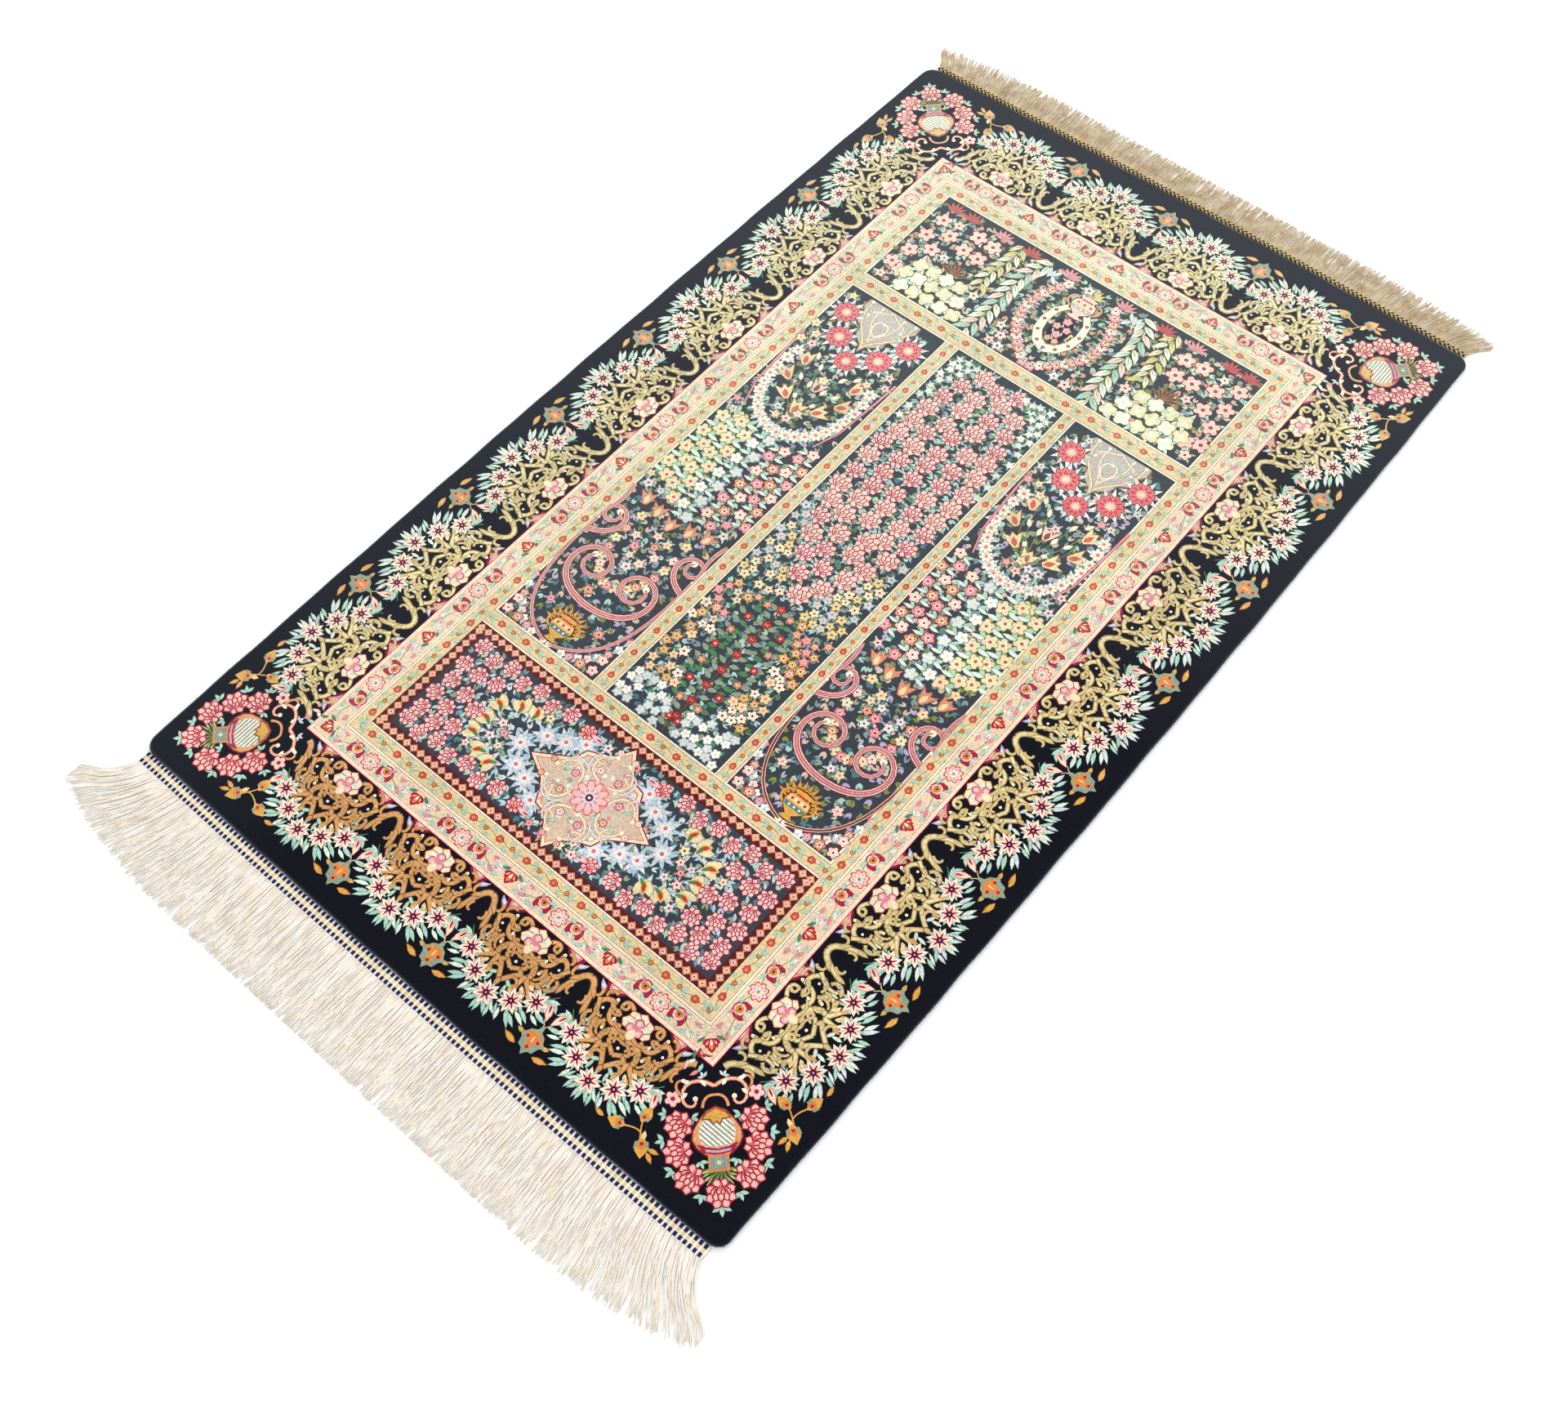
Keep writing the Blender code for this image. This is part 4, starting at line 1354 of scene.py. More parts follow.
def cutPattern(tiles):
    # piece by piece, every shape's outline becomes edges of a flat mesh; a triangle takes the topmost dye
    outline = edgeOf(pile["edgeRoll"])
    sized = []
    for dye, points in design:
        points = forwards(points)
        xs = [x for x, _ in points]
        ys = [y for _, y in points]
        sized.append((dye, points, (min(xs), max(xs), min(ys), max(ys))))
    kept = {}
    for name in sorted({tile[0] for tile in tiles}):
        own = [i for i, tile in enumerate(tiles) if tile[0] == name]
        x0 = min(tiles[i][1][0] for i in own)
        y0 = min(tiles[i][1][1] for i in own)
        x1 = max(tiles[i][1][2] for i in own)
        y1 = max(tiles[i][1][3] for i in own)
        near = [s for s in sized if s[2][0] < x1 and s[2][1] > x0 and s[2][2] < y1 and s[2][3] > y0]
        shapes = [outline] + [boxOf(*tiles[i][1]) for i in own] + [s[1] for s in near]
        corners = []
        faces = []
        for points in shapes:
            faces.append(list(range(len(corners), len(corners) + len(points))))
            corners += points
        flat, _, triangles, _, _, owners = delaunay_2d_cdt(corners, [], faces, 1, 1e-7, True)
        flat = np.array([tuple(p) for p in flat])
        cells = []
        labels = []
        for triangle, owner in zip(triangles, owners):
            tile = next((o for o in owner if 0 < o <= len(own)), None)
            if 0 not in owner or tile is None:
                continue
            cx, cy = flat[list(triangle)].mean(0)
            dye = "navy"
            for o in sorted(owner, reverse=True):
                if o <= len(own):
                    break
                left, right, low, high = near[o - len(own) - 1][2]
                if left <= cx <= right and low <= cy <= high:
                    dye = near[o - len(own) - 1][0]
                    break
            cells.append(triangle)
            labels.append(dyeNames.index(dye) * 100 + own[tile - 1])
        kept[name] = thinned(flat, np.array(cells), np.array(labels))
    return kept


def edgesOf(cells, size):
    # the start and end of each directed edge, and the place of the edge that runs back along it, or -1
    starts = cells.reshape(-1)
    ends = np.roll(cells, -1, 1).reshape(-1)
    key = starts.astype(np.int64) * size + ends
    back = ends.astype(np.int64) * size + starts
    order = np.argsort(key)
    found = np.searchsorted(key[order], back)
    found[found == len(key)] = 0
    return starts, ends, np.where(key[order][found] == back, order[found], -1)


def borderLines(cells, labels):
    # directed edges that have another label, or nothing, on their right
    starts, ends, back = edgesOf(cells, int(cells.max()) + 1)
    own = np.repeat(labels, 3)
    other = np.where(back >= 0, own[back], -1)
    line = own != other
    return starts[line].tolist(), ends[line].tolist(), own[line].tolist(), other[line].tolist()


def thinned(flat, cells, labels):
    # drops the edges that hidden shapes left behind, and the points along straight runs
    links = {}
    label = {}
    for a, b, left, right in zip(*borderLines(cells, labels)):
        links.setdefault(a, set()).add(b)
        links.setdefault(b, set()).add(a)
        label[(a, b)] = left
        if right < 0:
            label[(b, a)] = -1
    spots = flat.tolist()
    for v in list(links):
        if len(links[v]) != 2:
            continue
        a, b = links[v]
        if b in links[a]:
            continue
        ax, ay = spots[a]
        bx, by = spots[b]
        vx, vy = spots[v]
        span = math.hypot(bx - ax, by - ay)
        if span < 1e-9 or abs((bx - ax) * (vy - ay) - (by - ay) * (vx - ax)) / span > pile["thinning"]:
            continue
        label[(a, b)] = label[(a, v)]
        label[(b, a)] = label[(b, v)]
        for p in (a, b):
            del label[(p, v)]
            del label[(v, p)]
        links[a].remove(v)
        links[b].remove(v)
        links[a].add(b)
        links[b].add(a)
        del links[v]
    used = sorted(links)
    place = {old: new for new, old in enumerate(used)}
    points = [tuple(spots[v]) for v in used]
    lines = [(place[a], place[b]) for a in used for b in links[a] if a < b]
    flat, _, triangles, origins, _, _ = delaunay_2d_cdt(points, lines, [], 0, 1e-9, True)
    flat = np.array([tuple(p) for p in flat])
    source = [o[0] if o else -1 for o in origins]
    names = [used[s] if s >= 0 else -1 - i for i, s in enumerate(source)]
    cells = np.array([list(f) for f in triangles])
    fixed = np.full(len(cells), -2)
    for i, (a, b, c) in enumerate(cells.tolist()):
        for p, q in ((a, b), (b, c), (c, a)):
            found = label.get((names[p], names[q]))
            if found is not None:
                fixed[i] = found
                break
    # triangles without such an edge take their neighbour's label
    starts, ends, back = edgesOf(cells, len(flat) + 1)
    neighbour = np.where(back >= 0, back // 3, -1)
    neighbour[[(names[p], names[q]) in label for p, q in zip(starts.tolist(), ends.tolist())]] = -1
    neighbour = neighbour.reshape(-1, 3)
    for _ in range(400):
        todo = np.nonzero(fixed == -2)[0]
        if not len(todo):
            break
        around = neighbour[todo]
        values = np.where(around >= 0, fixed[around], -2).max(1)
        if (values == -2).all():
            break
        fixed[todo] = values
    inside = zip(cells[fixed >= 0].tolist(), fixed[fixed >= 0].tolist())
    return flat, [(tuple(cell), dyeNames[found // 100], found % 100) for cell, found in inside]


def link(name, verts, faces, material):
    mesh = bpy.data.meshes.new(name)
    mesh.from_pydata(verts, [], faces)
    mesh.materials.append(material)
    piece = bpy.data.objects.new(name, mesh)
    bpy.context.scene.collection.objects.link(piece)
    return piece


def smoothSides(piece):
    for polygon in piece.data.polygons:
        polygon.use_smooth = len(polygon.vertices) == 4


def paint(piece, tones):
    # gives each face its dye
    colours = {tone: (*linear(tone), 1.0) for tone in set(tones)}
    values = [colours[tone] for polygon, tone in zip(piece.data.polygons, tones) for _ in polygon.vertices]
    layer = piece.data.color_attributes.new("dye", "FLOAT_COLOR", "CORNER")
    layer.data.foreach_set("color", np.array(values, np.float32).ravel())


def unwrap(piece, name, spots):
    uv = piece.data.uv_layers.new(name=name)
    uv.data.foreach_set("uv", np.array(spots, np.float32).ravel())


def pilePiece(name, flat, cells, tiles, material, shift):
    used = sorted({i for cell in cells for i in cell[0]})
    place = {old: new for new, old in enumerate(used)}
    verts = [(flat[i][0] + shift.x, flat[i][1] + shift.y, pileTop) for i in used]
    piece = link(name, verts, [[place[i] for i in cell[0]] for cell in cells], material)
    paint(piece, [dyes[cell[1]] for cell in cells])
    spots = []
    for triangle, _, tile in cells:
        _, (x0, y0, x1, y1), index, count, upright = tiles[tile]
        for i in triangle:
            along = (flat[i][0] - x0) / (x1 - x0)
            up = (flat[i][1] - y0) / (y1 - y0)
            if upright:
                spots.append(((index + 0.01 + 0.98 * along) / count, 0.01 + 0.98 * up))
            else:
                spots.append((0.01 + 0.98 * along, (index + 0.01 + 0.98 * up) / count))
    unwrap(piece, "OFBake", spots)
    return piece


def foundation(materials, shift):
    # the rug's body under the pile: a closed slab whose rim rolls over in dark nap
    roll = pile["edgeRoll"]
    height = pileTop - 0.0004
    rings = [(roll + 0.004, height)]
    for i in range(6):
        angle = math.radians(90 * i / 5)
        rise = (pileTop * 0.55 - 0.00005) * math.cos(angle)
        rings.append((roll * (1 - math.sin(angle)), pileTop * 0.45 + rise))
    rings += [(0.0003, pileTop * 0.25), (0.0012, 0.0006), (0.0022, 0.0)]
    loops = [[(x + shift.x, y + shift.y, z) for x, y in edgeOf(inset)] for inset, z in rings]
    count = len(loops[0])
    verts = [p for loop in loops for p in loop]
    faces = []
    for r in range(len(loops) - 1):
        for i in range(count):
            j = (i + 1) % count
            faces.append([r * count + j, r * count + i, (r + 1) * count + i, (r + 1) * count + j])
    faces.append(list(range(count)))
    faces.append([(len(loops) - 1) * count + i for i in reversed(range(count))])
    body = link("pile_foundation", verts, faces, materials[0])
    body.data.materials.append(materials[1])
    body.data.polygons[len(faces) - 1].material_index = 1
    smoothSides(body)
    return body


def fuzz(material, shift):
    # loose ends of silk that stand out along the rim
    rng = random.Random(11)
    edge = edgeOf(0.0012)
    verts = []
    faces = []
    count = len(edge)
    for i, (x0, y0) in enumerate(edge):
        x1, y1 = edge[(i + 1) % count]
        length = math.hypot(x1 - x0, y1 - y0)
        nx, ny = (y1 - y0) / max(length, 1e-9), -(x1 - x0) / max(length, 1e-9)
        for _ in range(round(length * pile["fuzzPerMetre"])):
            t = rng.random()
            lift = rng.uniform(0.15, 0.95)
            back = pile["edgeRoll"] * 0.6 * max(0.0, lift - 0.5)
            x = x0 + (x1 - x0) * t - nx * back + shift.x
            y = y0 + (y1 - y0) * t - ny * back + shift.y
            z = 0.0006 + (pileTop - 0.0012) * lift
            reach = pile["fuzzLength"] * rng.uniform(0.45, 1.0)
            side = rng.uniform(-0.6, 0.6)
            rise = min(rng.uniform(-0.5, 0.35) * reach, pileTop + 0.0006 - z)
            tipX = x + (nx - ny * side) * reach
            tipY = y + (ny + nx * side) * reach
            start = len(verts)
            w = pile["fuzzWidth"]
            verts += [(x + ny * w, y - nx * w, z), (x - ny * w, y + nx * w, z)]
            verts += [(tipX, tipY, max(0.0003, z + rise))]
            faces.append([start, start + 1, start + 2])
    return link("pile_fuzz", verts, faces, material)


# twisted strands, the checked kilim and the twined chain
cotton = {
    "nearStrands": 620,
    "farStrands": 700,
    "strandRadius": 0.00062,
    "halfWidth": 0.3865,  # of the strips and of the roots of the fringes
    "kilimBlocks": 268,
    "kilimDepth": 0.0135,
    "kilimOuter": ("#1b2145", "#e6e3ea"),
    "kilimMiddle": ("#e3cb8c", "#f4efe2"),
    "kilimGround": "#bdb9b4",
    "chainPitch": 0.0062,
    "chainTones": ("#1a1c2a", "#e8d08c"),
    "chainRadius": 0.0009,
}


def tubes(paths, sides=5):
    # paths: lists of (point, radius); gives verts, faces and, per face corner, round and along
    verts = []
    faces = []
    spots = []
    for path in paths:
        points = np.array([p for p, _ in path], float)
        radii = [r for _, r in path]
        ahead = np.gradient(points, axis=0)
        ahead /= np.linalg.norm(ahead, axis=1)[:, None] + 1e-12
        side = np.cross(ahead, (0.0, 0.0, 1.0))
        side /= np.linalg.norm(side, axis=1)[:, None] + 1e-12
        up = np.cross(side, ahead)
        along = np.concatenate([[0], np.cumsum(np.linalg.norm(np.diff(points, axis=0), axis=1))])
        start = len(verts)
        for p, r, s, u in zip(points, radii, side, up):
            for k in range(sides):
                angle = 2 * math.pi * k / sides
                verts.append(tuple(p + r * (math.cos(angle) * s + math.sin(angle) * u)))
        for i in range(len(path) - 1):
            for k in range(sides):
                n = (k + 1) % sides
                a = start + i * sides
                b = a + sides
                faces.append([a + k, a + n, b + n, b + k])
                lo, hi = along[i] * 100, along[i + 1] * 100
                spots += [(k / sides, lo), ((k + 1) / sides, lo), ((k + 1) / sides, hi), (k / sides, hi)]
        for end, order in ((0, -1), (len(path) - 1, 1)):
            ring = [start + end * sides + k for k in range(sides)][::order]
            faces.append(ring)
            spots += [(0.5, along[end] * 100)] * sides
    return verts, faces, spots


def strandPiece(name, paths, material, sides=5, tones=None):
    verts, faces, spots = tubes(paths, sides)
    piece = link(name, verts, faces, material)
    unwrap(piece, "strand", spots)
    smoothSides(piece)
    if tones:
        paint(piece, [tones[i * len(paths) // len(faces)] for i in range(len(faces))])
    return piece


def endBow(x):
    return pile["endBow"] * (1 - min(1.0, abs(x) / pile["bowSpan"]) ** 2)


def fringePaths(node, sign, count, length, splay, power, seed, radius, ragged):
    # warp ends that leave the strip side by side, lean outwards at the corners and wander a little
    rng = random.Random(seed)
    low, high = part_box(node)
    rootY = high.y + 0.0006 if sign < 0 else low.y - 0.0006
    half = cotton["halfWidth"]
    top = high.z
    paths = []
    for i in range(count):
        share = (i + 0.5) / count * 2 - 1 + rng.uniform(-0.6, 0.6) / count
        x = share * half
        tuft = math.sin(i * 0.83) * 0.5 + math.sin(i * 0.29 + 2) * 0.5
        lean = math.radians(splay) * math.copysign(abs(share) ** power, share)
        lean += math.radians(rng.gauss(0, 3.2) + 3.0 * tuft)
        reach = length * (1 - 0.13 * abs(share) ** 5) * (1 - ragged * rng.random() ** 2)
        sway = rng.gauss(0, 0.0017)
        level = rng.random()
        thick = radius * rng.uniform(0.8, 1.12)
        y = rootY + sign * endBow(x)
        rootZ = min(0.0014, top - thick * 1.05)
        path = []
        steps = 10
        for k in range(steps + 1):
            t = k / steps
            angle = lean * min(1.0, 0.45 + 0.7 * t)
            px = x + reach * t * math.sin(angle) + sway * math.sin(t * 4.2 + level * 6) * t
            py = y + sign * reach * t * math.cos(angle)
            over = thick + (top - 2.1 * thick) * level * math.sin(math.pi * min(1.0, t * 1.15)) ** 0.6
            pz = rootZ * (1 - t) ** 3 + over * (1 - (1 - t) ** 3)
            shrink = 1.0 if t < 0.9 else 0.72
            px = min(max(px, low.x + thick), high.x - thick)
            py = max(py, low.y + thick) if sign < 0 else min(py, high.y - thick)
            path.append(((px, py, max(thick * shrink, min(pz, top - thick))), thick * shrink))
        paths.append(path)
    return paths


def kilim(material):
    # three rows of small woven blocks between the pile and the near fringe
    low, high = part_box("near_kilim")
    rng = random.Random(5)
    inner = high.y + 0.0002
    depth = cotton["kilimDepth"]
    half = cotton["halfWidth"]
    count = cotton["kilimBlocks"]
    verts = []
    faces = []
    tones = []
    foot = low.z + 0.0008
    for row in range(3):
        for i in range(count):
            x0 = -half + 2 * half * i / count
            x1 = x0 + 2 * half / count
            lean = rng.uniform(-0.0003, 0.0003)
            y1 = inner - depth * row / 3
            y0 = y1 - depth / 3
            if row == 1:
                tone = cotton["kilimMiddle"][i % 2]
            else:
                tone = cotton["kilimOuter"][i % 2]
                spread = -0.0003 if i % 2 else 0.0003
                x0, x1 = x0 - spread, x1 + spread
            start = len(verts)
            n = 4
            for a in range(n):
                for b in range(n):
                    s = b / (n - 1)
                    t = a / (n - 1)
                    bulge = math.sin(math.pi * (0.06 + 0.88 * s)) * math.sin(math.pi * (0.08 + 0.84 * t))
                    x = x0 + (x1 - x0) * s + lean * t
                    y = y0 + (y1 - y0) * t - endBow(x)
                    verts.append((x, y, foot + (high.z - foot) * bulge**0.5))
            for a in range(n - 1):
                for b in range(n - 1):
                    k = start + a * n + b
                    faces.append([k, k + 1, k + n + 1, k + n])
                    tones.append(tone)
    # a plain band under the blocks closes them off
    steps = 80
    for k in range(steps + 1):
        x = -half + 2 * half * k / steps
        for y, z in ((inner, 0.0), (inner - depth, 0.0), (inner - depth, 0.0009), (inner, 0.0009)):
            verts.append((x, y - endBow(x), z))
    start = len(verts) - 4 * (steps + 1)
    for k in range(steps):
        a = start + 4 * k
        for c in range(4):
            d = (c + 1) % 4
            faces.append([a + c, a + 4 + c, a + 4 + d, a + d])
            tones.append(cotton["kilimGround"])
    end = len(verts)
    faces += [[start, start + 1, start + 2, start + 3], [end - 1, end - 2, end - 3, end - 4]]
    tones += [cotton["kilimGround"]] * 2
    piece = link("near_kilim_weave", verts, faces, material)
    paint(piece, tones)
    for polygon in piece.data.polygons:
        polygon.use_smooth = True
    return piece


def chain(material):
    # two rows of twining side by side, wound opposite ways, dark and pale
    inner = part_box("far_chain")[0].y
    half = cotton["halfWidth"]
    paths = []
    tones = []
    step = cotton["chainPitch"] / 10
    count = int(2 * half / step)
    for row, hand in ((0, 1), (1, -1)):
        for strand in range(2):
            path = []
            for k in range(count + 1):
                x = -half + 2 * half * k / count
                angle = 2 * math.pi * k / 10 * hand + math.pi * strand
                y = inner + 0.0032 + row * 0.0029 + endBow(x) + cotton["chainRadius"] * math.cos(angle)
                z = 0.0027 + 0.0007 * math.sin(angle)
                path.append(((x, y, z), cotton["chainRadius"]))
            paths.append(path)
            tones.append(cotton["chainTones"][strand])
    return strandPiece("far_chain_twining", paths, material, 5, tones)


def setInputs(tree, node, values):
    # each value is a number or colour to set, or a socket to link from
    for key, value in values.items():
        if hasattr(value, "is_linked"):
            tree.links.new(value, node.inputs[key])
        else:
            node.inputs[key].default_value = value


def addNode(tree, kind, values=None, **settings):
    node = tree.nodes.new(kind)
    for key, value in settings.items():
        setattr(node, key, value)
    setInputs(tree, node, values or {})
    return node


def mixColours(tree, blend, factor, first, second):
    values = {0: factor, 6: first, 7: second}
    return addNode(tree, "ShaderNodeMix", values, data_type="RGBA", blend_type=blend).outputs[2]


def maths(tree, operation, *values):
    return addNode(tree, "ShaderNodeMath", dict(enumerate(values)), operation=operation).outputs[0]


def ranged(tree, value, fromMin, fromMax, toMin=0.0, toMax=1.0):
    values = {"Value": value, "From Min": fromMin, "From Max": fromMax, "To Min": toMin, "To Max": toMax}
    return addNode(tree, "ShaderNodeMapRange", values).outputs["Result"]


def noise(tree, place, scale, detail):
    values = {"Vector": place, "Scale": scale, "Detail": detail}
    return addNode(tree, "ShaderNodeTexNoise", values).outputs["Fac"]


def bumped(tree, height, distance, strength):
    values = {"Height": height, "Distance": distance, "Strength": strength}
    return addNode(tree, "ShaderNodeBump", values).outputs["Normal"]


def wearGroup():
    # uneven lustre of hand-knotted silk: slow clouds, bands of one dye lot and single knots
    group = bpy.data.node_groups.new("SilkTone", "ShaderNodeTree")
    for label, direction, kind in (
        ("Colour", "INPUT", "NodeSocketColor"), ("Colour", "OUTPUT", "NodeSocketColor"),
        ("Nap", "OUTPUT", "NodeSocketFloat"),
    ):
        group.interface.new_socket(name=label, in_out=direction, socket_type=kind)
    place = addNode(group, "ShaderNodeTexCoord").outputs["Object"]
    knots = addNode(group, "ShaderNodeTexVoronoi", {"Vector": place, "Scale": 1250.0})
    rows = noise(group, place, 420.0, 2.0)
    stretch = addNode(group, "ShaderNodeMapping", {"Vector": place, "Scale": (0.6, 26.0, 1.0)})
    clouds = ranged(group, noise(group, place, 9.0, 4.0), 0.0, 1.0, 0.80, 1.14)
    lots = ranged(group, noise(group, stretch.outputs["Vector"], 1.0, 3.0), 0.3, 0.7, 0.93, 1.06)
    specks = ranged(group, knots.outputs["Color"], 0.0, 1.0, 0.80, 1.18)
    tufts = ranged(group, rows, 0.3, 0.7, 0.84, 1.18)
    slow = maths(group, "MULTIPLY", clouds, lots)
    fine = maths(group, "MULTIPLY", tufts, specks)
    entry = addNode(group, "NodeGroupInput").outputs["Colour"]
    values = {0: entry, "Scale": maths(group, "MULTIPLY", slow, fine)}
    scaled = addNode(group, "ShaderNodeVectorMath", values, operation="SCALE")
    nap = maths(group, "MULTIPLY_ADD", knots.outputs["Distance"], 0.6, rows)
    addNode(group, "NodeGroupOutput", {"Colour": scaled.outputs["Vector"], "Nap": nap})
    return group


# the nap's lustre: a little real sheen, and a painted sheen that makes the base colour paler and duller the
# flatter it is seen
silk = {
    "sheen": 0.04,
    "lustreFrom": 0.13,
    "lustreTo": 0.30,
    # painted sheen: the colour lift added to the base colour where the nap is seen flat
    "paintedSheen": (0.027, 0.031, 0.037, 1.0),
    "rim": (0.005, 0.006, 0.014, 1.0),
}
silkTone = wearGroup()


def newMaterial(name):
    material = bpy.data.materials.new(name)
    material.use_nodes = True
    return material, material.node_tree, material.node_tree.nodes["Principled BSDF"]


def silkMaterial(name, dyed=True):
    material, tree, shader = newMaterial(name)
    colour = silk["rim"]
    if dyed:
        colour = addNode(tree, "ShaderNodeAttribute", attribute_name="dye").outputs["Color"]
    tone = addNode(tree, "ShaderNodeGroup", node_tree=silkTone)
    setInputs(tree, tone, {"Colour": colour})
    # painted sheen: the flatter the nap is seen, the more its base colour is mixed towards a paler, duller,
    # lifted tone
    facing = addNode(tree, "ShaderNodeLayerWeight", {"Blend": 0.5}).outputs["Facing"]
    paintedSheenAmount = ranged(tree, facing, silk["lustreFrom"], silk["lustreTo"])
    dull = addNode(tree, "ShaderNodeHueSaturation", {"Color": tone.outputs["Colour"], "Saturation": 0.80})
    warm = mixColours(tree, "MULTIPLY", 1.0, dull.outputs["Color"], (1.0, 1.06, 0.94, 1.0))
    pale = mixColours(tree, "ADD", 1.0, warm, silk["paintedSheen"])
    values = {
        "Base Color": mixColours(tree, "MIX", paintedSheenAmount, tone.outputs["Colour"], pale),
        "Roughness": 0.72,
        "Specular IOR Level": 0.07,
        "Sheen Weight": silk["sheen"],
        "Sheen Roughness": 0.42,
        "Sheen Tint": (0.95, 0.93, 1.0, 1.0),
        "Normal": bumped(tree, tone.outputs["Nap"], 0.0005, 0.7),
    }
    setInputs(tree, shader, values)
    return material


def backMaterial():
    # the underside: flat rows of knots in muted border and field tones
    material, tree, shader = newMaterial("silk_back")
    place = addNode(tree, "ShaderNodeTexCoord").outputs["Object"]
    motifs = addNode(tree, "ShaderNodeTexVoronoi", {"Vector": place, "Scale": 38.0})
    ramp = addNode(tree, "ShaderNodeValToRGB", {"Fac": motifs.outputs["Color"]})
    ramp.color_ramp.interpolation = "CONSTANT"
    elements = ramp.color_ramp.elements
    stops = ((0.0, "navy"), (0.42, "garnet"), (0.54, "rose"), (0.66, "gold"), (0.78, "mint"), (0.88, "ivory"))
    for index, (position, dye) in enumerate(stops):
        element = elements[index] if index < 2 else elements.new(position)
        element.position = position
        element.color = (*linear(dyes[dye]), 1.0)
    bricks = {"Vector": place, "Scale": 420.0, "Mortar Size": 0.012}
    bricks.update({"Color1": (1, 1, 1, 1), "Color2": (0.82, 0.82, 0.82, 1), "Mortar": (0.35, 0.33, 0.3, 1)})
    knots = addNode(tree, "ShaderNodeTexBrick", bricks)
    values = {
        "Base Color": mixColours(tree, "MULTIPLY", 0.8, ramp.outputs["Color"], knots.outputs["Color"]),
        "Roughness": 0.85,
        "Normal": bumped(tree, knots.outputs["Fac"], 0.0003, 0.6),
    }
    setInputs(tree, shader, values)
    return material


def cottonMaterial(name, tones=None, twist=True):
    # from a clean tone to a soiled one, or in the dyes of the piece's own faces; with twist on, painted shade
    # darkens the grooves of the twist
    material, tree, shader = newMaterial(name)
    place = addNode(tree, "ShaderNodeTexCoord").outputs["Object"]
    fibre = noise(tree, place, 900.0, 2.0)
    level = ranged(tree, noise(tree, place, 60.0, 5.0), 0.35, 0.72)
    if tones:
        colour = mixColours(tree, "MIX", level, *[(*linear(tone), 1.0) for tone in tones])
    else:
        dye = addNode(tree, "ShaderNodeAttribute", attribute_name="dye")
        colour = mixColours(tree, "MULTIPLY", level, dye.outputs["Color"], (0.82, 0.78, 0.74, 1.0))
    height = fibre
    if twist:
        uv = addNode(tree, "ShaderNodeUVMap", uv_map="strand")
        split = addNode(tree, "ShaderNodeSeparateXYZ", {"Vector": uv.outputs["UV"]})
        turns = maths(tree, "MULTIPLY_ADD", split.outputs["Y"], 3.4, split.outputs["X"])
        wave = maths(tree, "SINE", maths(tree, "MULTIPLY", turns, 4 * math.pi))
        # painted shade: the base colour darkens towards tan in the grooves between the twist's turns
        paintedGrooveShade = ranged(tree, wave, -1.0, -0.2, 0.42, 0.0)
        colour = mixColours(tree, "MULTIPLY", paintedGrooveShade, colour, (0.62, 0.50, 0.38, 1.0))
        height = maths(tree, "MULTIPLY_ADD", wave, 0.5, fibre)
    values = {
        "Base Color": colour,
        "Roughness": 0.88,
        "Specular IOR Level": 0.2,
        "Sheen Weight": 0.12,
        "Normal": bumped(tree, height, 0.00025, 0.7),
    }
    setInputs(tree, shader, values)
    return material


print("pattern")
drawBorder()
drawGuards()
drawField()
tiles = tilesOf()
print("cutting", len(design), "shapes")
kept = cutPattern(tiles)
pileSilk = silkMaterial("silk_pile")
rimSilk = silkMaterial("silk_rim", dyed=False)
print("pieces")
body = foundation([rimSilk, backMaterial()], pileMiddle)
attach(body, "root")
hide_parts("pile_body")
total = 0
for name in sorted(kept):
    flat, cells = kept[name]
    piece = pilePiece("pile_" + name, flat, cells, tiles, pileSilk, pileMiddle)
    total += len(cells)
    print(name, len(cells))
    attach(piece, "root")
nap = fuzz(rimSilk, pileMiddle)
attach(nap, "root")

print("cotton")
ivoryCotton = cottonMaterial("fringe_near", ("#fcf8ef", "#f4ead8"))
beigeCotton = cottonMaterial("fringe_far", ("#d9c9ab", "#b7a07a"))
blockCotton = cottonMaterial("kilim_blocks", twist=False)
chainCotton = cottonMaterial("chain_twining")
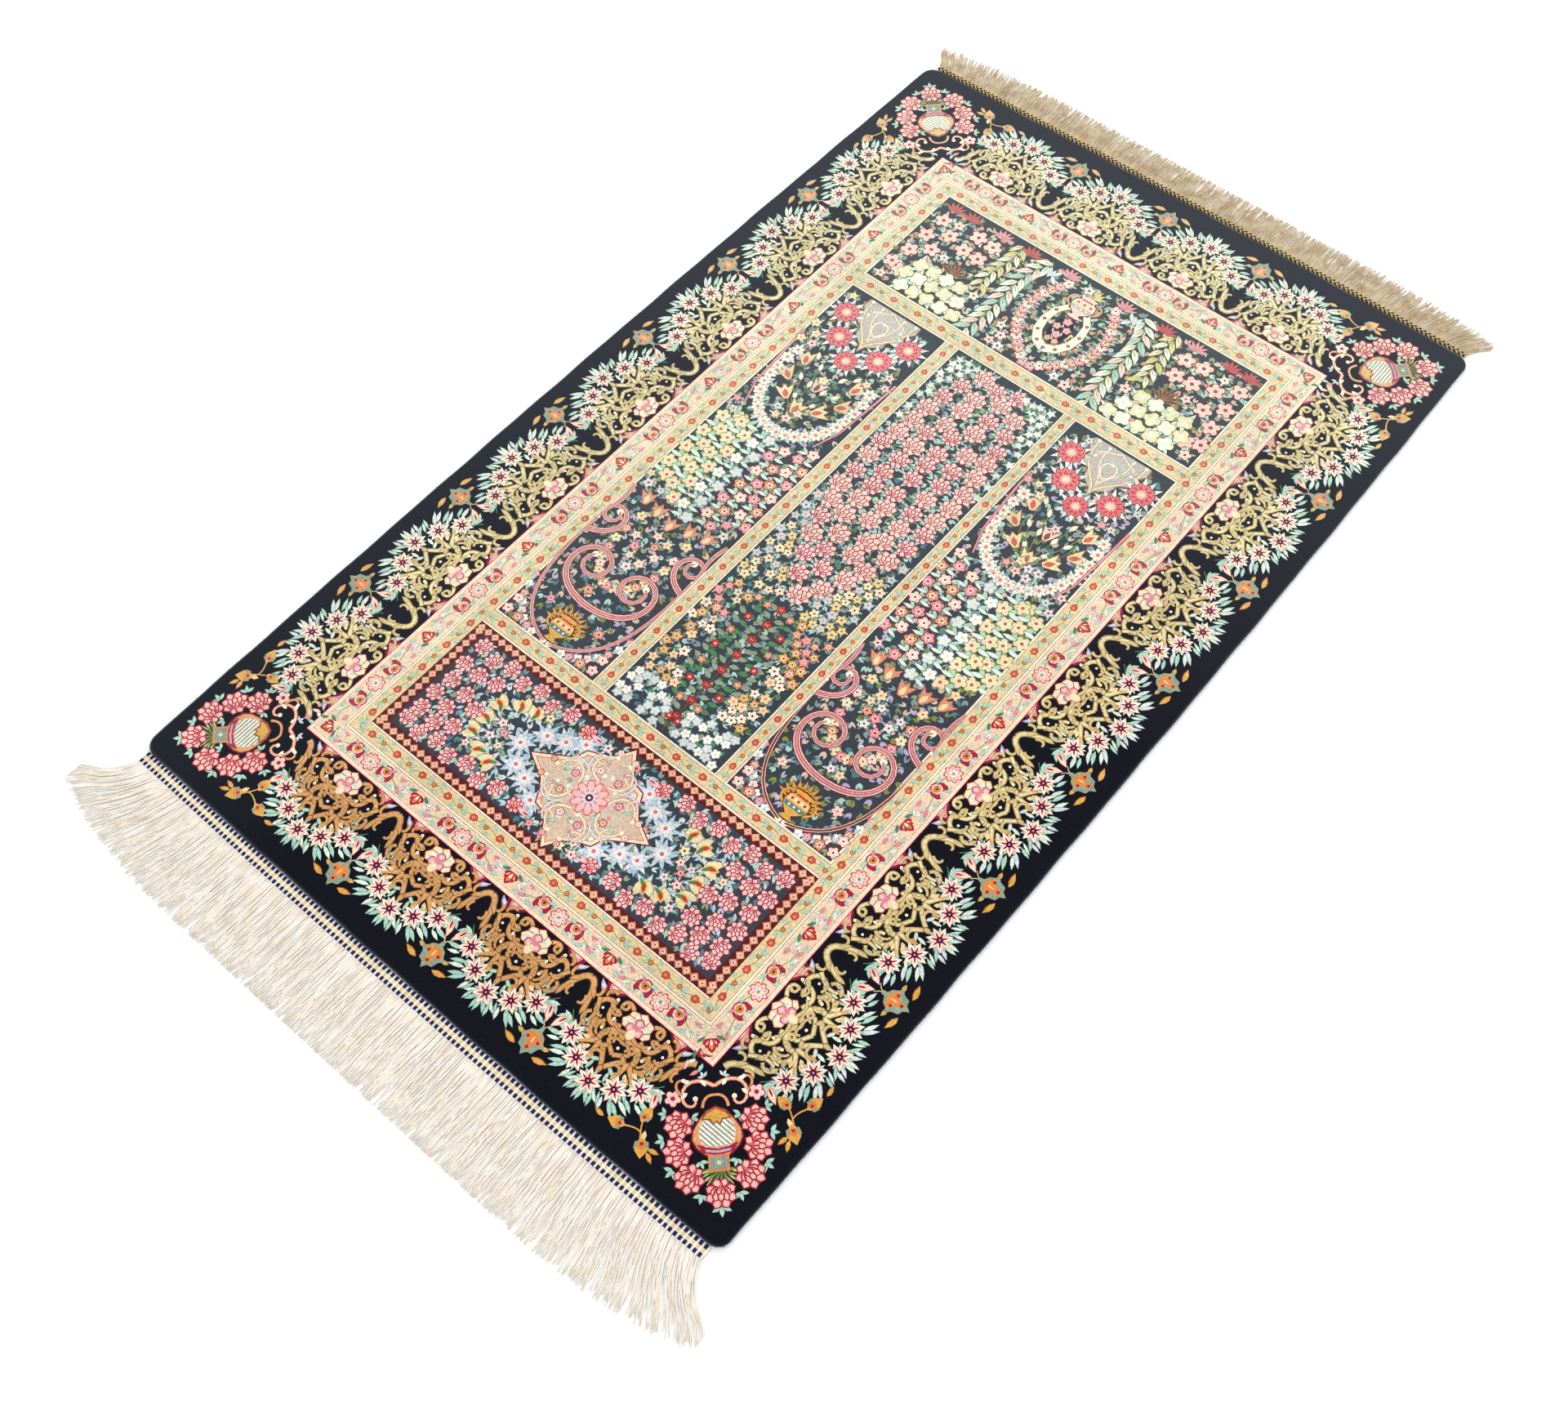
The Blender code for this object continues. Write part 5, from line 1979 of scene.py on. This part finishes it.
# two layers a fringe: number of strands, length, splay in degrees, seed, thickness and raggedness
near = cotton["nearStrands"]
far = cotton["farStrands"]
nearPaths = []
farPaths = []
for paths, node, sign, count, length, splay, seed, thickness, ragged in (
    (nearPaths, "near_fringe", -1, near, 0.0915, 47, 3, 1.0, 0.07),
    (nearPaths, "near_fringe", -1, near, 0.088, 47, 4, 0.9, 0.16),
    (farPaths, "far_fringe", 1, far, 0.0525, 34, 7, 0.9, 0.22),
    (farPaths, "far_fringe", 1, far * 2 // 3, 0.049, 34, 8, 0.85, 0.35),
):
    radius = cotton["strandRadius"] * thickness
    paths += fringePaths(node, sign, count, length, splay, 5, seed, radius, ragged)
for piece, node, slotName in (
    (strandPiece("near_fringe_strands", nearPaths, ivoryCotton), "near_fringe", "near_fringe_cotton"),
    (strandPiece("far_fringe_strands", farPaths, beigeCotton), "far_fringe", "far_fringe_cotton"),
    (kilim(blockCotton), "near_kilim", "kilim_cotton"),
    (chain(chainCotton), "far_chain", "chain_cotton"),
):
    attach(piece, "root")
    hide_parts(node)
    total += sum(len(p.vertices) - 2 for p in piece.data.polygons)
print("triangles", total)

bpy.ops.mesh.primitive_plane_add(size=14, location=(0, 0, -0.0002))
floor = bpy.context.object
floor.name = "floor"
floorMaterial, floorTree, floorShader = newMaterial("floor_plain")
setInputs(floorTree, floorShader, {"Base Color": (0.90, 0.90, 0.90, 1.0), "Roughness": 0.9})
floor.data.materials.append(floorMaterial)

world = bpy.data.worlds.new("studio")
bpy.context.scene.world = world
world.use_nodes = True
background = world.node_tree.nodes["Background"]
setInputs(world.node_tree, background, {"Color": (1.0, 1.0, 1.0, 1.0), "Strength": 1.0})


def areaLight(name, place, size, power):
    data = bpy.data.lights.new(name, "AREA")
    data.shape = "RECTANGLE"
    data.size, data.size_y = size
    data.energy = power
    lamp = bpy.data.objects.new(name, data)
    bpy.context.scene.collection.objects.link(lamp)
    lamp.location = place
    aim = pileMiddle - lamp.location
    lamp.rotation_mode = "QUATERNION"
    lamp.rotation_quaternion = aim.to_track_quat("-Z", "Y")


areaLight("key_far", (-0.9, 2.6, 2.0), (2.6, 1.6), 42)
areaLight("fill_near", (1.6, -1.6, 2.6), (2.2, 2.2), 14)

cameraData = bpy.data.cameras.new("camera")
cameraData.lens = 39.41
cameraData.sensor_width = 36
camera = bpy.data.objects.new("camera", cameraData)
bpy.context.scene.collection.objects.link(camera)
camera.location = (0.6704, -0.8573 + pileMiddle.y, 1.5426 + pileTop)
camera.rotation_euler = [math.radians(a) for a in (29.615, 0.922, 40.306)]
bpy.context.scene.camera = camera
bpy.context.scene.view_settings.view_transform = "Standard"
